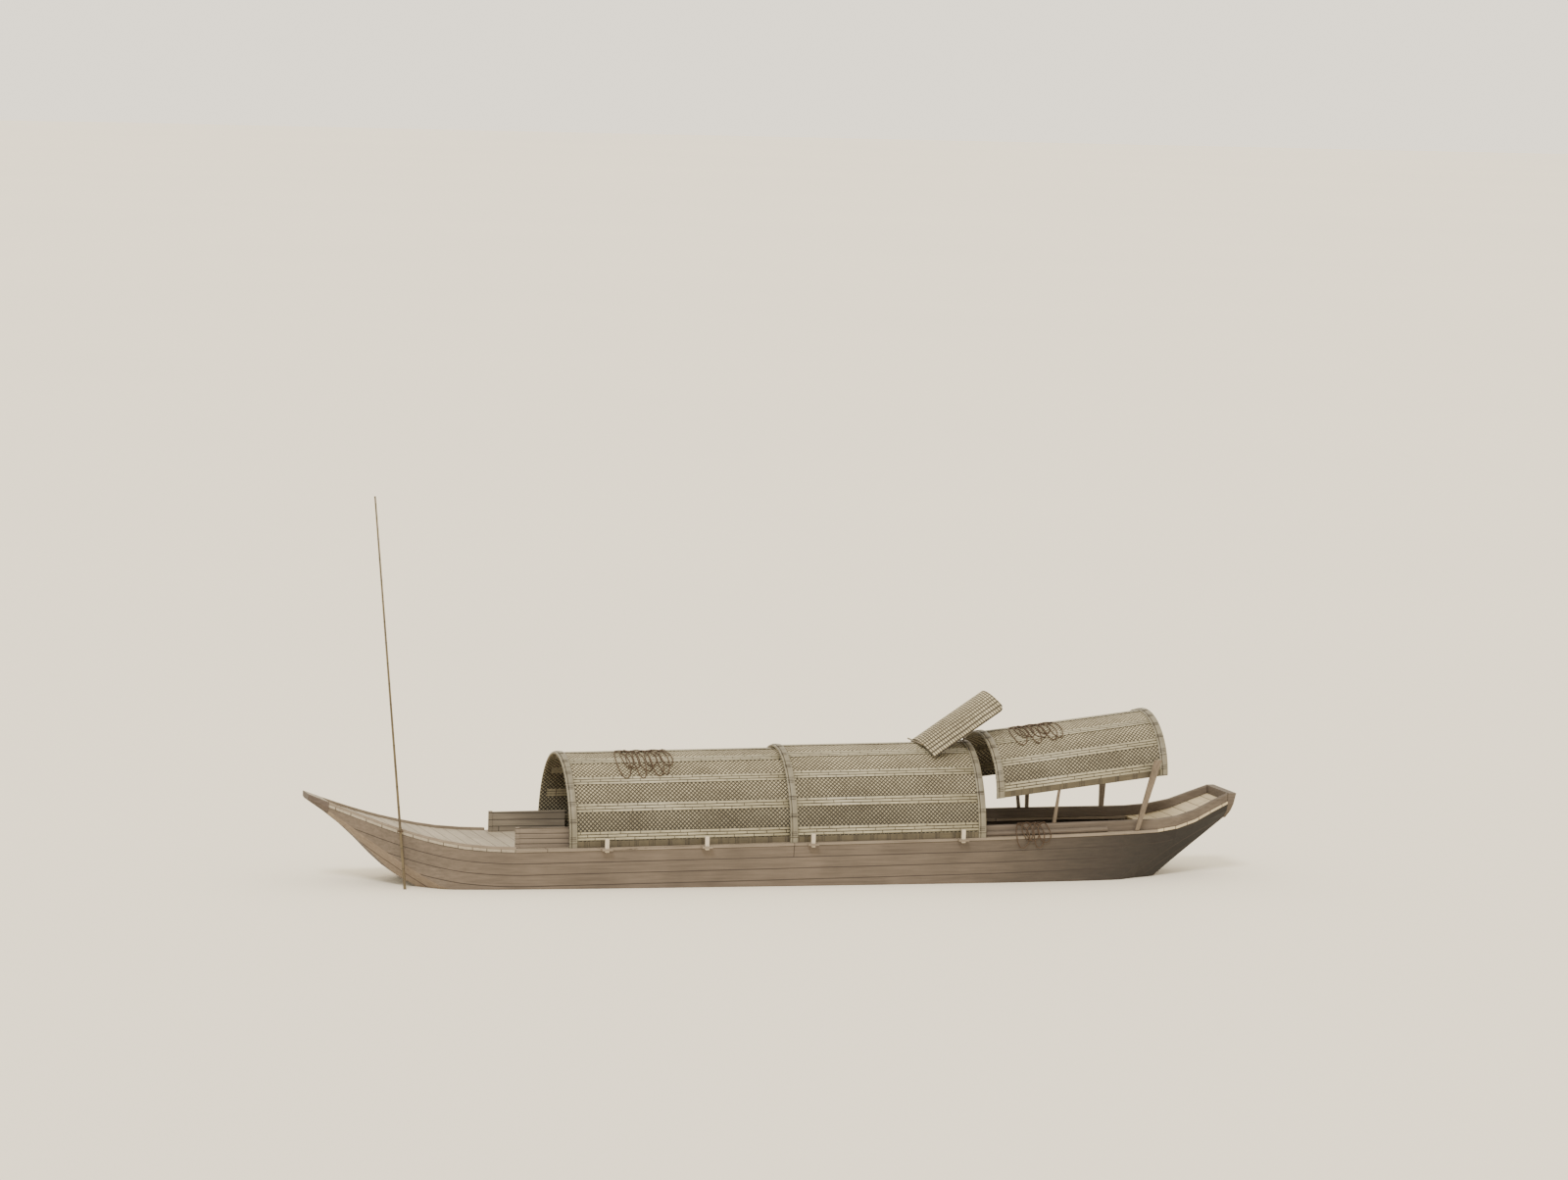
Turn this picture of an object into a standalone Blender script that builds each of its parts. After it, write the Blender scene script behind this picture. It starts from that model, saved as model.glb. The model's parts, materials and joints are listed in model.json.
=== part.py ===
"""Flat-bottomed wooden river boat with three barrel roofs of woven mat.

Frame: +X runs to the bow, +Y to port, +Z up. The origin is on the flat bottom,
in the middle of the boat's box. All sizes are in metres.
"""

import math
from bisect import bisect_right

import bmesh
import bpy
from mathutils import Matrix, Vector

# Hull lines, each a list of (x, value) from the stern to the bow, drawn from the
# middle of the flat bottom; the finished boat is moved so that its box is centred
STERN_END = -9.300
BOW_END = 8.630
CENTRING = -(STERN_END + BOW_END) / 2
STATIONS = (-9.13, -8.78, -8.42, -8.02, -7.60, -7.24, -6.85, -6.35, -5.50, -4.30, -2.00, 0.00,
            2.00, 4.00, 4.95, 5.42, 5.90, 6.30, 6.62, 6.85, 7.07, 7.34, 7.64, 7.95, 8.26)
ROOF_SLOPE = 0.014
SHEER_AMIDSHIPS = 1.220
SHEER_AFT = ((-9.30, 1.890), (-8.78, 1.665), (-8.16, 1.420), (-7.55, 1.345), (-6.50, 1.325))
SHEER_FORE = ((5.80, 1.205), (6.35, 1.295), (6.86, 1.420), (7.19, 1.515), (7.77, 1.710),
              (8.29, 1.900), (8.63, 2.030))
BEAM = ((-9.30, 0.60), (-8.70, 0.74), (-8.12, 0.90), (-7.50, 1.05), (-6.50, 1.22), (-4.00, 1.36),
        (0.00, 1.40), (4.00, 1.37), (5.00, 1.34), (5.80, 1.29), (6.35, 1.20), (6.86, 1.03),
        (7.19, 0.87), (7.77, 0.56), (8.29, 0.36), (8.63, 0.27))
CHINE = ((-9.30, 1.700), (-8.80, 1.500), (-8.34, 1.300), (-7.88, 1.075), (-7.36, 0.770),
         (-6.85, 0.430), (-6.00, 0.290), (-4.00, 0.260), (4.00, 0.260), (5.50, 0.290), (6.20, 0.430),
         (6.77, 0.740), (7.00, 0.890), (7.50, 1.230), (8.21, 1.740), (8.63, 1.972))
BOTTOM = ((-9.30, 1.600), (-8.87, 1.285), (-8.07, 0.715), (-7.51, 0.305), (-6.80, 0.045),
          (-6.15, 0.000), (5.30, 0.000), (5.95, 0.080), (6.30, 0.220), (6.62, 0.390),
          (7.07, 0.640), (7.60, 1.140), (8.07, 1.560), (8.63, 1.956))
CHINE_SHARE = 0.90
BOTTOM_SHARE = 0.62

# Planking
PLANK = 0.050
CAP = 0.050
TRANSOM = 0.050
SEAM = 0.0004
GAP = 0.0003
SNUG = 0.0040

# Decks, bulkheads and rails
FOREDECK_END = 4.30
LEDGE_END = 4.95
AFTER_DECK_END = -7.60
MID_BULKHEAD = -4.20
CABIN_SOLE = 0.320
COCKPIT_SOLE = 0.800
BOARD = 0.040
LEDGE_INNER = 1.040
LEDGE_WIDTH = 0.220
FORE_RAIL = (0.055, 0.050)
QUARTER_RAIL_WIDTH = 0.090
QUARTER_RAIL_CORNER = 0.022
QUARTER_RAIL_START = -4.080
QUARTER_RAIL_INSET = ((-9.30, 0.010), (-7.80, 0.012), (-7.24, 0.100), (-6.50, 0.150),
                      (-4.08, 0.180))
QUARTER_RAIL_HEIGHT = ((-9.30, 0.155), (-7.96, 0.195), (-4.08, 0.205))
SPAR_X = (-6.55, -4.10)
SPAR_RADIUS = 0.052
WASHBOARD_X = (3.45, 4.92)
WASHBOARD_Y = 1.100
WASHBOARD_HEIGHT = 0.370
WASHBOARD_THICKNESS = 0.035
WASHBOARD_POST = 0.070
WASHBOARD_SWELL = 0.015

# Mat roofs: half-width and height of the elliptic arch outside the front mat
ARCH_HALF_WIDTH = 1.280
ARCH_HEIGHT = 1.600
ARCH_SEGMENTS = 20
MAT = 0.025
LATH = 0.010
LATH_WIDTH = 0.050
LATH_PITCH = 0.056
LATH_ROOT = 0.020
LATH_ROOM = 0.0005
CANOPY_BANDS = (-80.0, -55.0, -28.0, 0.0, 28.0, 55.0, 80.0)
LATH_BANDS = (-82.5, -63.5, -42.5, -21.0, 0.0, 21.0, 42.5, 63.5, 82.5)
RIM_WIDTH = 0.150
RIM = 0.028
FOOT_RAIL_HEIGHT = 0.120
FRONT_ROOF_X = (-0.850, 3.935)
MIDDLE_ROOF_X = (-4.084, -0.271)
MIDDLE_ROOF_OFFSET = 0.045
CANOPY_X = (-7.640, -4.270)
CANOPY_HALF_WIDTH = 1.350
CANOPY_FOOT = (2.430, 2.010)
CANOPY_HEIGHT = 1.080

# Flap propped up over the after end of the middle roof
FLAP_HINGE_X = -3.050
FLAP_LENGTH = 1.660
FLAP_HALF_WIDTH = 0.720
FLAP_ANGLE = 34.0
FLAP_THICKNESS = 0.022
HINGE_BAR = (0.016, 0.460)
PROP_RADIUS = (0.018, 0.014)
PROP_ROOM = 0.0016

# Pegs in their cleats, posts and stubs
PEG_X = (3.26, 1.36, -0.68, -3.61)
PEG = (0.075, 0.060, 0.250)
PEG_OFFSET = 0.055
PEG_BELOW = 0.075
LEDGE_OVERHANG = 0.012
CLEAT = (0.200, 0.120, 0.044)
CLEAT_ROOT = 0.008
AFTER_POST_X = -7.160
AFTER_POST_LEAN = 0.220
AFTER_POST_TOP = 2.740
AFTER_POST_INSET = 0.050
AFTER_POST_FOOT = (0.040, 0.027)
AFTER_POST_HEAD = (0.075, 0.022)
LEAN_ROOM = 0.040
MID_POST_X = -5.500
MID_POST_RADIUS = (0.040, 0.030)
STUB = (0.035, 0.030)
STUBS = (("mid", -5.660, 0.280), ("aft", -7.120, 0.500))

# Pole in its rope ring against the fore rail, each end as (x, z)
POLE_FOOT = (6.910, 0.030)
POLE_TOP = (7.650, 7.620)
POLE_TAPER_START = 3.400
POLE_RADIUS = (0.0265, 0.0150)
GROMMET_HEIGHT = 1.475
GROMMET_RADIUS = 0.0405
GROMMET_ROPE = 0.0130

# Ropes
ROPE_LAYER = 0.060
ROPE_SEAT = 0.0002
FRONT_ROPE_X = (1.720, 2.960)
FRONT_ROPE_ARC = (-0.030, 1.220)
CANOPY_ROPE_X = (-5.840, -4.740)
CANOPY_ROPE_ARC = (-0.040, 0.950)
QUARTER_ROPE_X = (-5.440, -4.620)
QUARTER_ROPE_DROP = 0.250

# Colours as sRGB, roughness
COLOURS = {
    "hull": ((0.50, 0.42, 0.35), 0.75),
    "deck": ((0.70, 0.64, 0.55), 0.80),
    "dark": ((0.38, 0.31, 0.26), 0.75),
    "ledge": ((0.63, 0.57, 0.50), 0.80),
    "mat": ((0.58, 0.54, 0.42), 0.90),
    "bamboo": ((0.72, 0.67, 0.53), 0.60),
    "rope": ((0.32, 0.23, 0.17), 0.95),
}


def to_linear(channel):
    if channel <= 0.04045:
        return channel / 12.92
    return ((channel + 0.055) / 1.055) ** 2.4


def material(name):
    found = bpy.data.materials.get(name)
    if found:
        return found
    colour, roughness = COLOURS[name]
    made = bpy.data.materials.new(name)
    made.use_nodes = True
    shader = made.node_tree.nodes["Principled BSDF"]
    shader.inputs["Base Color"].default_value = [to_linear(c) for c in colour] + [1.0]
    shader.inputs["Roughness"].default_value = roughness
    return made


def clear_scene():
    for obj in list(bpy.data.objects):
        bpy.data.objects.remove(obj, do_unlink=True)


def add_object(name, bm, look, pivot=(0.0, 0.0, 0.0), smooth=False):
    """Close a bmesh into a named object whose origin is its pivot."""
    bmesh.ops.recalc_face_normals(bm, faces=bm.faces[:])
    bmesh.ops.translate(bm, verts=bm.verts[:], vec=-Vector(pivot))
    mesh = bpy.data.meshes.new(name)
    bm.to_mesh(mesh)
    bm.free()
    if smooth:
        mesh.shade_smooth()
        mesh.set_sharp_from_angle(angle=math.radians(35))
    mesh.materials.append(material(look))
    obj = bpy.data.objects.new(name, mesh)
    obj.location = Vector(pivot) + Vector((CENTRING, 0.0, 0.0))
    bpy.context.scene.collection.objects.link(obj)
    return obj


def fuse(obj, bm):
    """Join closed shapes to an object with an exact union."""
    joined = add_object(obj.name + "_joined", bm, "hull")
    joined.hide_render = True
    joined.display_type = "WIRE"
    union = obj.modifiers.new("union", "BOOLEAN")
    union.operation = "UNION"
    union.solver = "EXACT"
    union.object = joined


def fair(points, x):
    """Monotone cubic through the points of a hull line."""
    xs = [p[0] for p in points]
    ys = [p[1] for p in points]
    steps = [xs[i + 1] - xs[i] for i in range(len(xs) - 1)]
    slopes = [(ys[i + 1] - ys[i]) / steps[i] for i in range(len(steps))]
    tangents = [slopes[0]]
    for i in range(1, len(steps)):
        before, after = slopes[i - 1], slopes[i]
        if before * after <= 0.0:
            tangents.append(0.0)
        else:
            tangents.append(2.0 * before * after / (before + after))
    tangents.append(slopes[-1])
    i = min(max(bisect_right(xs, x) - 1, 0), len(steps) - 1)
    t = (x - xs[i]) / steps[i]
    rise = (2 * t ** 3 - 3 * t ** 2 + 1) * ys[i] + (3 * t ** 2 - 2 * t ** 3) * ys[i + 1]
    lean = (t ** 3 - 2 * t ** 2 + t) * tangents[i] + (t ** 3 - t ** 2) * tangents[i + 1]
    return rise + lean * steps[i]


def roof_base(x):
    """Straight part of the sheer, which the sliding roof runs on."""
    return SHEER_AMIDSHIPS - ROOF_SLOPE * x


SHEER = SHEER_AFT + ((-4.30, roof_base(-4.30)), (4.95, roof_base(4.95))) + SHEER_FORE


def station_line(points, x):
    """The line as planked: straight from each station to the next."""
    stops = (STERN_END,) + STATIONS + (BOW_END,)
    i = min(max(bisect_right(stops, x) - 1, 0), len(stops) - 2)
    share = (x - stops[i]) / (stops[i + 1] - stops[i])
    ends = []
    for stop in (stops[i], stops[i + 1]):
        if points is SHEER and -4.30 <= stop <= 4.95:
            ends.append(roof_base(stop))
        else:
            ends.append(fair(points, stop))
    return ends[0] + share * (ends[1] - ends[0])


def sheer(x):
    return station_line(SHEER, x)


def beam(x):
    return station_line(BEAM, x)


def span(start, end):
    """Start, the stations between, and end."""
    return [start] + [s for s in STATIONS if start + 0.02 < s < end - 0.02] + [end]


def section(x):
    """Outer and inner corners of the port half: bottom edge, chine, plank top."""
    half = beam(x)
    edge = Vector((half * BOTTOM_SHARE, station_line(BOTTOM, x)))
    chine = Vector((half * CHINE_SHARE, station_line(CHINE, x)))
    top = Vector((half, sheer(x) - CAP))
    bilge_way = (chine - edge).normalized()
    side_way = (top - chine).normalized()
    up = Vector((0.0, 1.0))
    bilge_in = Vector((-bilge_way.y, bilge_way.x))
    side_in = Vector((-side_way.y, side_way.x))
    inner_edge = edge + PLANK * (up + bilge_in) / (1.0 + up.dot(bilge_in))
    inner_chine = chine + PLANK * (bilge_in + side_in) / (1.0 + bilge_in.dot(side_in))
    inner_top = top + Vector((-PLANK / side_way.y, 0.0))
    return (edge, chine, top), (inner_edge, inner_chine, inner_top), bilge_way


def inner_corners(x):
    """Inside corners of the planking at x, straight between stations."""
    i = min(max(bisect_right(STATIONS, x) - 1, 0), len(STATIONS) - 2)
    share = (x - STATIONS[i]) / (STATIONS[i + 1] - STATIONS[i])
    before, after = section(STATIONS[i])[1], section(STATIONS[i + 1])[1]
    return [a.lerp(b, share) for a, b in zip(before, after)]


def inner_half(x, z):
    """Half-width inside the planking at a height."""
    edge, chine, top = inner_corners(x)
    if z < chine.y:
        return edge.x + (chine.x - edge.x) * (z - edge.y) / (chine.y - edge.y)
    return chine.x + (top.x - chine.x) * (z - chine.y) / (top.y - chine.y)


def loft(bm, rings):
    """Closed body through rings of equal point counts."""
    loops = []
    for ring in rings:
        verts = [bm.verts.new(p) for p in ring]
        edges = [bm.edges.new((verts[i], verts[(i + 1) % len(verts)])) for i in range(len(verts))]
        loops.append((verts, edges))
    faces = []
    for (verts_a, _), (verts_b, _) in zip(loops, loops[1:]):
        for i in range(len(verts_a)):
            j = (i + 1) % len(verts_a)
            faces.append(bm.faces.new((verts_a[i], verts_a[j], verts_b[j], verts_b[i])))
    faces.append(bm.faces.new(loops[0][0]))
    faces.append(bm.faces.new(loops[-1][0]))
    bmesh.ops.triangulate(bm, faces=faces, quad_method="SHORT_EDGE", ngon_method="EAR_CLIP")


def box(bm, low, high):
    size = [b - a for a, b in zip(low, high)]
    middle = [(a + b) / 2 for a, b in zip(low, high)]
    place = Matrix.Translation(middle) @ Matrix.Diagonal((*size, 1.0))
    bmesh.ops.create_cube(bm, size=1.0, matrix=place)


def tube(bm, start, end, radii, sides=10):
    """Straight round stick from start to end."""
    start, end = Vector(start), Vector(end)
    way = (end - start).normalized()
    turn = way.to_track_quat("Z", "Y")
    rings = []
    for centre, radius in ((start, radii[0]), (end, radii[1])):
        ring = []
        for i in range(sides):
            angle = math.tau * i / sides
            ring.append(centre + turn @ Vector((math.cos(angle), math.sin(angle), 0.0)) * radius)
        rings.append(ring)
    loft(bm, rings)


def upright(bm, foot, head, floor, ceiling):
    """Post between two outlines, its ends cut to the surfaces below and above."""
    rings = []
    for outline, surface in ((foot, floor), (head, ceiling)):
        rings.append([Vector((x, y, surface(x))) for x, y in outline])
    loft(bm, rings)


def rectangle(x, y, half_x, half_y):
    return [(x - half_x, y - half_y), (x + half_x, y - half_y),
            (x + half_x, y + half_y), (x - half_x, y + half_y)]


def circle(x, y, radius, sides=8):
    angles = [math.tau * i / sides for i in range(sides)]
    return [(x + radius * math.cos(a), y + radius * math.sin(a)) for a in angles]


def mirrored(side, points):
    return [Vector((p[0], side * p[1], p[2])) for p in points]


# Hull planking

def build_bottom():
    rings = []
    for x in span(STATIONS[0], STATIONS[-1]):
        (edge, _, _), (inner_edge, _, _), _ = section(x)
        rings.append([(x, -edge.x, edge.y), (x, edge.x, edge.y),
                      (x, inner_edge.x, inner_edge.y), (x, -inner_edge.x, inner_edge.y)])
    bm = bmesh.new()
    loft(bm, rings)
    add_object("bottom_planking", bm, "hull")


def build_bilge(name, side):
    rings = []
    for x in span(STATIONS[0], STATIONS[-1]):
        (edge, chine, _), (inner_edge, inner_chine, _), way = section(x)
        corners = (edge + way * SEAM, chine - way * SEAM,
                   inner_chine - way * SEAM, inner_edge + way * SEAM)
        rings.append(mirrored(side, [(x, c.x, c.y) for c in corners]))
    bm = bmesh.new()
    loft(bm, rings)
    add_object("bilge_planking_" + name, bm, "hull")


def build_side(name, side):
    rings = []
    for x in span(STATIONS[0], STATIONS[-1]):
        (_, chine, top), (_, inner_chine, inner_top), _ = section(x)
        corners = (chine, top, inner_top, inner_chine)
        rings.append(mirrored(side, [(x, c.x, c.y) for c in corners]))
    bm = bmesh.new()
    loft(bm, rings)
    add_object("side_planking_" + name, bm, "hull")


def end_outline(x, top):
    """Outline of the hull at an end, from its keel corner up to a height."""
    (edge, chine, plank_top), _, _ = section(x)
    rise = (beam(x), top)
    right = [(edge.x, edge.y), (chine.x, chine.y), (plank_top.x, plank_top.y), rise]
    left = [(-y, z) for y, z in reversed(right)]
    return right + left


def build_bow_block():
    """Solid nose that the planks butt against, with its flat top slab."""
    start = STATIONS[-1] + GAP
    rings = []
    for x in (start, BOW_END):
        outline = end_outline(x, sheer(x) + FORE_RAIL[1])
        rings.append([(x, y, z) for y, z in outline])
    bm = bmesh.new()
    loft(bm, rings)
    add_object("bow_block", bm, "hull")


def build_transom():
    start = STATIONS[0] - GAP
    top_rise = fair(QUARTER_RAIL_HEIGHT, STATIONS[0])
    rings = []
    outline = end_outline(start, sheer(start) + top_rise)
    low, high = outline[0][1], outline[3][1]
    for depth, rake in ((0.0, 0.0), (TRANSOM, start - TRANSOM - STERN_END)):
        rings.append([(start - depth - rake * (z - low) / (high - low), y, z) for y, z in outline])
    bm = bmesh.new()
    loft(bm, rings)
    add_object("transom", bm, "dark")


# Decks, ledges and inner boards

def deck_ring(x, half):
    """Section of a deck plate laid over the plank tops."""
    top = sheer(x)
    low = top - CAP + GAP
    return [(x, -half, low), (x, half, low), (x, half, top), (x, -half, top)]


def build_plate(name, x_range, look):
    """Deck plate flush with the hull's side."""
    bm = bmesh.new()
    loft(bm, [deck_ring(x, beam(x)) for x in span(*x_range)])
    add_object(name, bm, look)


def build_foredeck():
    """Bow deck, narrowed between the ledges at its after end."""
    between = LEDGE_INNER - GAP
    rings = [deck_ring(x, between) for x in span(FOREDECK_END, LEDGE_END)]
    rings += [deck_ring(x, beam(x)) for x in span(LEDGE_END, STATIONS[-1])]
    bm = bmesh.new()
    loft(bm, rings)
    add_object("foredeck", bm, "deck")


def build_ledge(name, side):
    rings = []
    for x in span(AFTER_DECK_END + GAP, LEDGE_END - GAP):
        outer = beam(x) + LEDGE_OVERHANG
        inner = min(LEDGE_INNER, beam(x) - LEDGE_WIDTH)
        top = sheer(x)
        low = top - CAP + GAP
        rings.append(mirrored(side, [(x, inner, low), (x, outer, low),
                                     (x, outer, top), (x, inner, top)]))
    bm = bmesh.new()
    loft(bm, rings)
    ledge = add_object("ledge_" + name, bm, "ledge")
    cleats = bmesh.new()
    for x in PEG_X:
        add_cleat(cleats, x, side)
    fuse(ledge, cleats)


def build_fore_rail(name, side):
    width, height = FORE_RAIL
    rings = []
    for x in span(LEDGE_END, STATIONS[-1]):
        outer = beam(x)
        low = sheer(x) + GAP
        top = low + height - GAP
        rings.append(mirrored(side, [(x, outer - width, low), (x, outer, low),
                                     (x, outer, top), (x, outer - width, top)]))
    bm = bmesh.new()
    loft(bm, rings)
    add_object("fore_rail_" + name, bm, "hull")


def quarter_rail_section(x):
    """Outer side, bottom and top of the rail at x."""
    outer = beam(x) - station_line(QUARTER_RAIL_INSET, x)
    low = sheer(x) + GAP
    return outer, low, low + station_line(QUARTER_RAIL_HEIGHT, x)


def rail_top(x):
    return quarter_rail_section(x)[2] + GAP


def build_quarter_rail(name, side):
    """Heavy rounded rail from the canopy's front to the stern."""
    rings = []
    for x in span(STATIONS[0], QUARTER_RAIL_START):
        outer, low, top = quarter_rail_section(x)
        inner = outer - QUARTER_RAIL_WIDTH
        corner = QUARTER_RAIL_CORNER
        rings.append(mirrored(side, [(x, inner, low), (x, outer, low), (x, outer, top - corner),
                                     (x, outer - corner, top), (x, inner + corner, top),
                                     (x, inner, top - corner)]))
    bm = bmesh.new()
    loft(bm, rings)
    add_object("quarter_rail_" + name, bm, "dark")


def build_bulkhead(name, x):
    """Board across the hull, clear of the planking and under the deck or ledges."""
    top = min(sheer(x), sheer(x + BOARD)) - CAP
    rings = []
    for face in (x, x + BOARD):
        edge, chine, _ = inner_corners(face)
        outline = [(edge.x - SNUG, edge.y + SNUG), (chine.x - SNUG, chine.y + SNUG),
                   (inner_half(face, top) - SNUG, top)]
        right = [(face, y, z) for y, z in outline]
        left = [(face, -y, z) for y, z in reversed(outline)]
        rings.append(right + left)
    bm = bmesh.new()
    loft(bm, rings)
    add_object(name, bm, "dark")


def build_sole(name, x_range, height):
    """Inside floor between two bulkheads."""
    rings = []
    for x in span(*x_range):
        half = inner_half(x, height) - 2 * SNUG
        rings.append([(x, -half, height), (x, half, height),
                      (x, half, height + BOARD), (x, -half, height + BOARD)])
    bm = bmesh.new()
    loft(bm, rings)
    add_object(name, bm, "deck")


def build_washboard(name, side):
    """Upright board ahead of the front roof, with its end post."""
    start, end = WASHBOARD_X
    inner, outer = WASHBOARD_Y, WASHBOARD_Y + WASHBOARD_THICKNESS
    step = end - WASHBOARD_POST
    rings = []
    for x, lift, swell in ((start, 2 * GAP, 0.0), (step, 2 * GAP, 0.0),
                           (step, GAP, WASHBOARD_SWELL), (end, GAP, WASHBOARD_SWELL)):
        low = sheer(x) + lift
        top = low + WASHBOARD_HEIGHT + swell
        rings.append(mirrored(side, [(x, inner - swell, low), (x, outer + swell, low),
                                     (x, outer + swell, top), (x, inner - swell, top)]))
    bm = bmesh.new()
    loft(bm, rings)
    add_object("washboard_" + name, bm, "dark" if side < 0 else "hull")


# Mat roofs

def arch_point(half, height, angle, offset):
    """Point on an elliptic arch, moved out along its normal."""
    s, c = math.sin(angle), math.cos(angle)
    normal = Vector((s / half, c / height)).normalized()
    return Vector((half * s, height * c)) + normal * offset


def arch_ring(x, base, half, height, low, high, limits=(-90.0, 90.0), segments=ARCH_SEGMENTS):
    """Ring of an arched strip between two offsets."""
    step = (limits[1] - limits[0]) / segments
    angles = [math.radians(limits[0] + step * i) for i in range(segments + 1)]
    outer = [arch_point(half, height, a, high) for a in angles]
    inner = [arch_point(half, height, a, low) for a in reversed(angles)]
    return [(x, p.x, base(x) + p.y) for p in outer + inner]


def straight_roof(x):
    return roof_base(x) + GAP


def build_roof(name, x_range, offset):
    """Mat and bamboo frame of a barrel roof that stands on the ledges."""
    half, height = ARCH_HALF_WIDTH, ARCH_HEIGHT
    x0, x1 = x_range
    mat = bmesh.new()
    loft(mat, [arch_ring(x, straight_roof, half, height, offset - MAT, offset) for x in (x0, x1)])
    add_object(name + "_mat", mat, "mat", smooth=True)
    low = offset + GAP
    after_rim = RIM if offset else LATH
    frame = bmesh.new()
    for a, b, thick in ((x1 - RIM_WIDTH, x1, RIM), (x0, x0 + RIM_WIDTH, after_rim)):
        loft(frame, [arch_ring(x, straight_roof, half, height, low, offset + thick) for x in (a, b)])
    frame = add_object(name + "_frame", frame, "bamboo", smooth=True)
    ends = (x0 + RIM_WIDTH - LATH_ROOT, x1 - RIM_WIDTH + LATH_ROOT)
    laths = bmesh.new()
    top = offset + LATH - LATH_ROOM
    for limits in lath_limits(LATH_BANDS, ARCH_HEIGHT):
        loft(laths, [arch_ring(x, straight_roof, half, height, low + LATH_ROOM, top, limits, 1)
                     for x in ends])
    add_foot_rails(laths, ends, straight_roof, half + low, half + offset + LATH)
    fuse(frame, laths)


def add_foot_rails(bm, ends, foot, inner, outer):
    """Straight rails along both lower edges of a roof."""
    for side in (-1, 1):
        rings = []
        for x in ends:
            base = foot(x) + LATH_ROOM
            top = base + FOOT_RAIL_HEIGHT
            rings.append(mirrored(side, [(x, inner, base), (x, outer + LATH_ROOM, base),
                                         (x, outer + LATH_ROOM, top), (x, inner, top)]))
        loft(bm, rings)


def lath_limits(bands, radius):
    """Angles of each lath's two edges, three laths to a band."""
    spread = math.degrees(LATH_PITCH / radius)
    reach = math.degrees(LATH_WIDTH / radius) / 2
    limits = []
    for band in bands:
        for step in (-1, 0, 1):
            angle = band + step * spread
            limits.append((angle - reach, angle + reach))
    return limits


def canopy_ring(x, low, high, limits=(-90.0, 90.0), segments=ARCH_SEGMENTS):
    """Ring of the canopy, which rises aft."""
    return arch_ring(x, canopy_foot, CANOPY_HALF_WIDTH, CANOPY_HEIGHT, low, high, limits, segments)


def build_canopy():
    x0, x1 = CANOPY_X
    mat = bmesh.new()
    loft(mat, [canopy_ring(x, -MAT, 0.0) for x in (x0, x1)])
    add_object("canopy_mat", mat, "mat", smooth=True)
    frame = bmesh.new()
    for a, b in ((x0, x0 + RIM_WIDTH), (x1 - RIM_WIDTH, x1)):
        loft(frame, [canopy_ring(x, GAP, RIM) for x in (a, b)])
    frame = add_object("canopy_frame", frame, "bamboo", smooth=True)
    ends = (x0 + RIM_WIDTH - LATH_ROOT, x1 - RIM_WIDTH + LATH_ROOT)
    laths = bmesh.new()
    for limits in lath_limits(CANOPY_BANDS, CANOPY_HALF_WIDTH):
        loft(laths, [canopy_ring(x, GAP + LATH_ROOM, LATH - LATH_ROOM, limits, 1) for x in ends])
    add_foot_rails(laths, ends, canopy_foot, CANOPY_HALF_WIDTH + GAP, CANOPY_HALF_WIDTH + LATH)
    fuse(frame, laths)


def canopy_foot(x):
    share = (x - CANOPY_X[0]) / (CANOPY_X[1] - CANOPY_X[0])
    return CANOPY_FOOT[0] + share * (CANOPY_FOOT[1] - CANOPY_FOOT[0])


# Flap and its prop

def flap_pivot():
    """Axis of the bar that the flap is tied to, resting on the ridge laths."""
    lift = MIDDLE_ROOF_OFFSET + LATH + HINGE_BAR[0] + GAP
    return Vector((FLAP_HINGE_X, 0.0, straight_roof(FLAP_HINGE_X) + ARCH_HEIGHT + lift))


def build_flap():
    """Curved mat panel, turned up about its forward edge."""
    reach = math.degrees(math.asin(FLAP_HALF_WIDTH / ARCH_HALF_WIDTH))
    half = FLAP_THICKNESS / 2
    rings = []
    for x in (-FLAP_LENGTH, -HINGE_BAR[0] - SEAM):
        rings.append(arch_ring(x, lambda _: -ARCH_HEIGHT, ARCH_HALF_WIDTH, ARCH_HEIGHT,
                               -half, half, (-reach, reach), 8))
    bm = bmesh.new()
    loft(bm, rings)
    bmesh.ops.rotate(bm, verts=bm.verts[:], cent=(0, 0, 0),
                     matrix=Matrix.Rotation(math.radians(FLAP_ANGLE), 3, "Y"))
    bmesh.ops.translate(bm, verts=bm.verts[:], vec=flap_pivot())
    add_object("flap_mat", bm, "mat", pivot=flap_pivot(), smooth=True)


def build_flap_hinge():
    """Bamboo stick across the ridge that the flap is tied to."""
    x, _, z = flap_pivot()
    radius, reach = HINGE_BAR
    bm = bmesh.new()
    tube(bm, (x, -reach, z), (x, reach, z), (radius, radius), 12)
    add_object("flap_hinge_bar", bm, "bamboo", smooth=True)


def build_prop():
    """Stick that holds the flap up, standing on the after rim's crown."""
    pivot = flap_pivot()
    slope = math.radians(FLAP_ANGLE)
    under = (FLAP_THICKNESS / 2 + PROP_ROOM) / math.cos(slope)
    x = MIDDLE_ROOF_X[0] + RIM_WIDTH / 2
    bm = bmesh.new()
    upright(bm, circle(x, 0.0, PROP_RADIUS[0]), circle(x, 0.0, PROP_RADIUS[1]),
            lambda u: straight_roof(u) + ARCH_HEIGHT + MIDDLE_ROOF_OFFSET + RIM + GAP,
            lambda u: pivot.z + (pivot.x - u) * math.tan(slope) - under)
    add_object("flap_prop", bm, "bamboo")


# Pegs, cleats and posts

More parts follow.
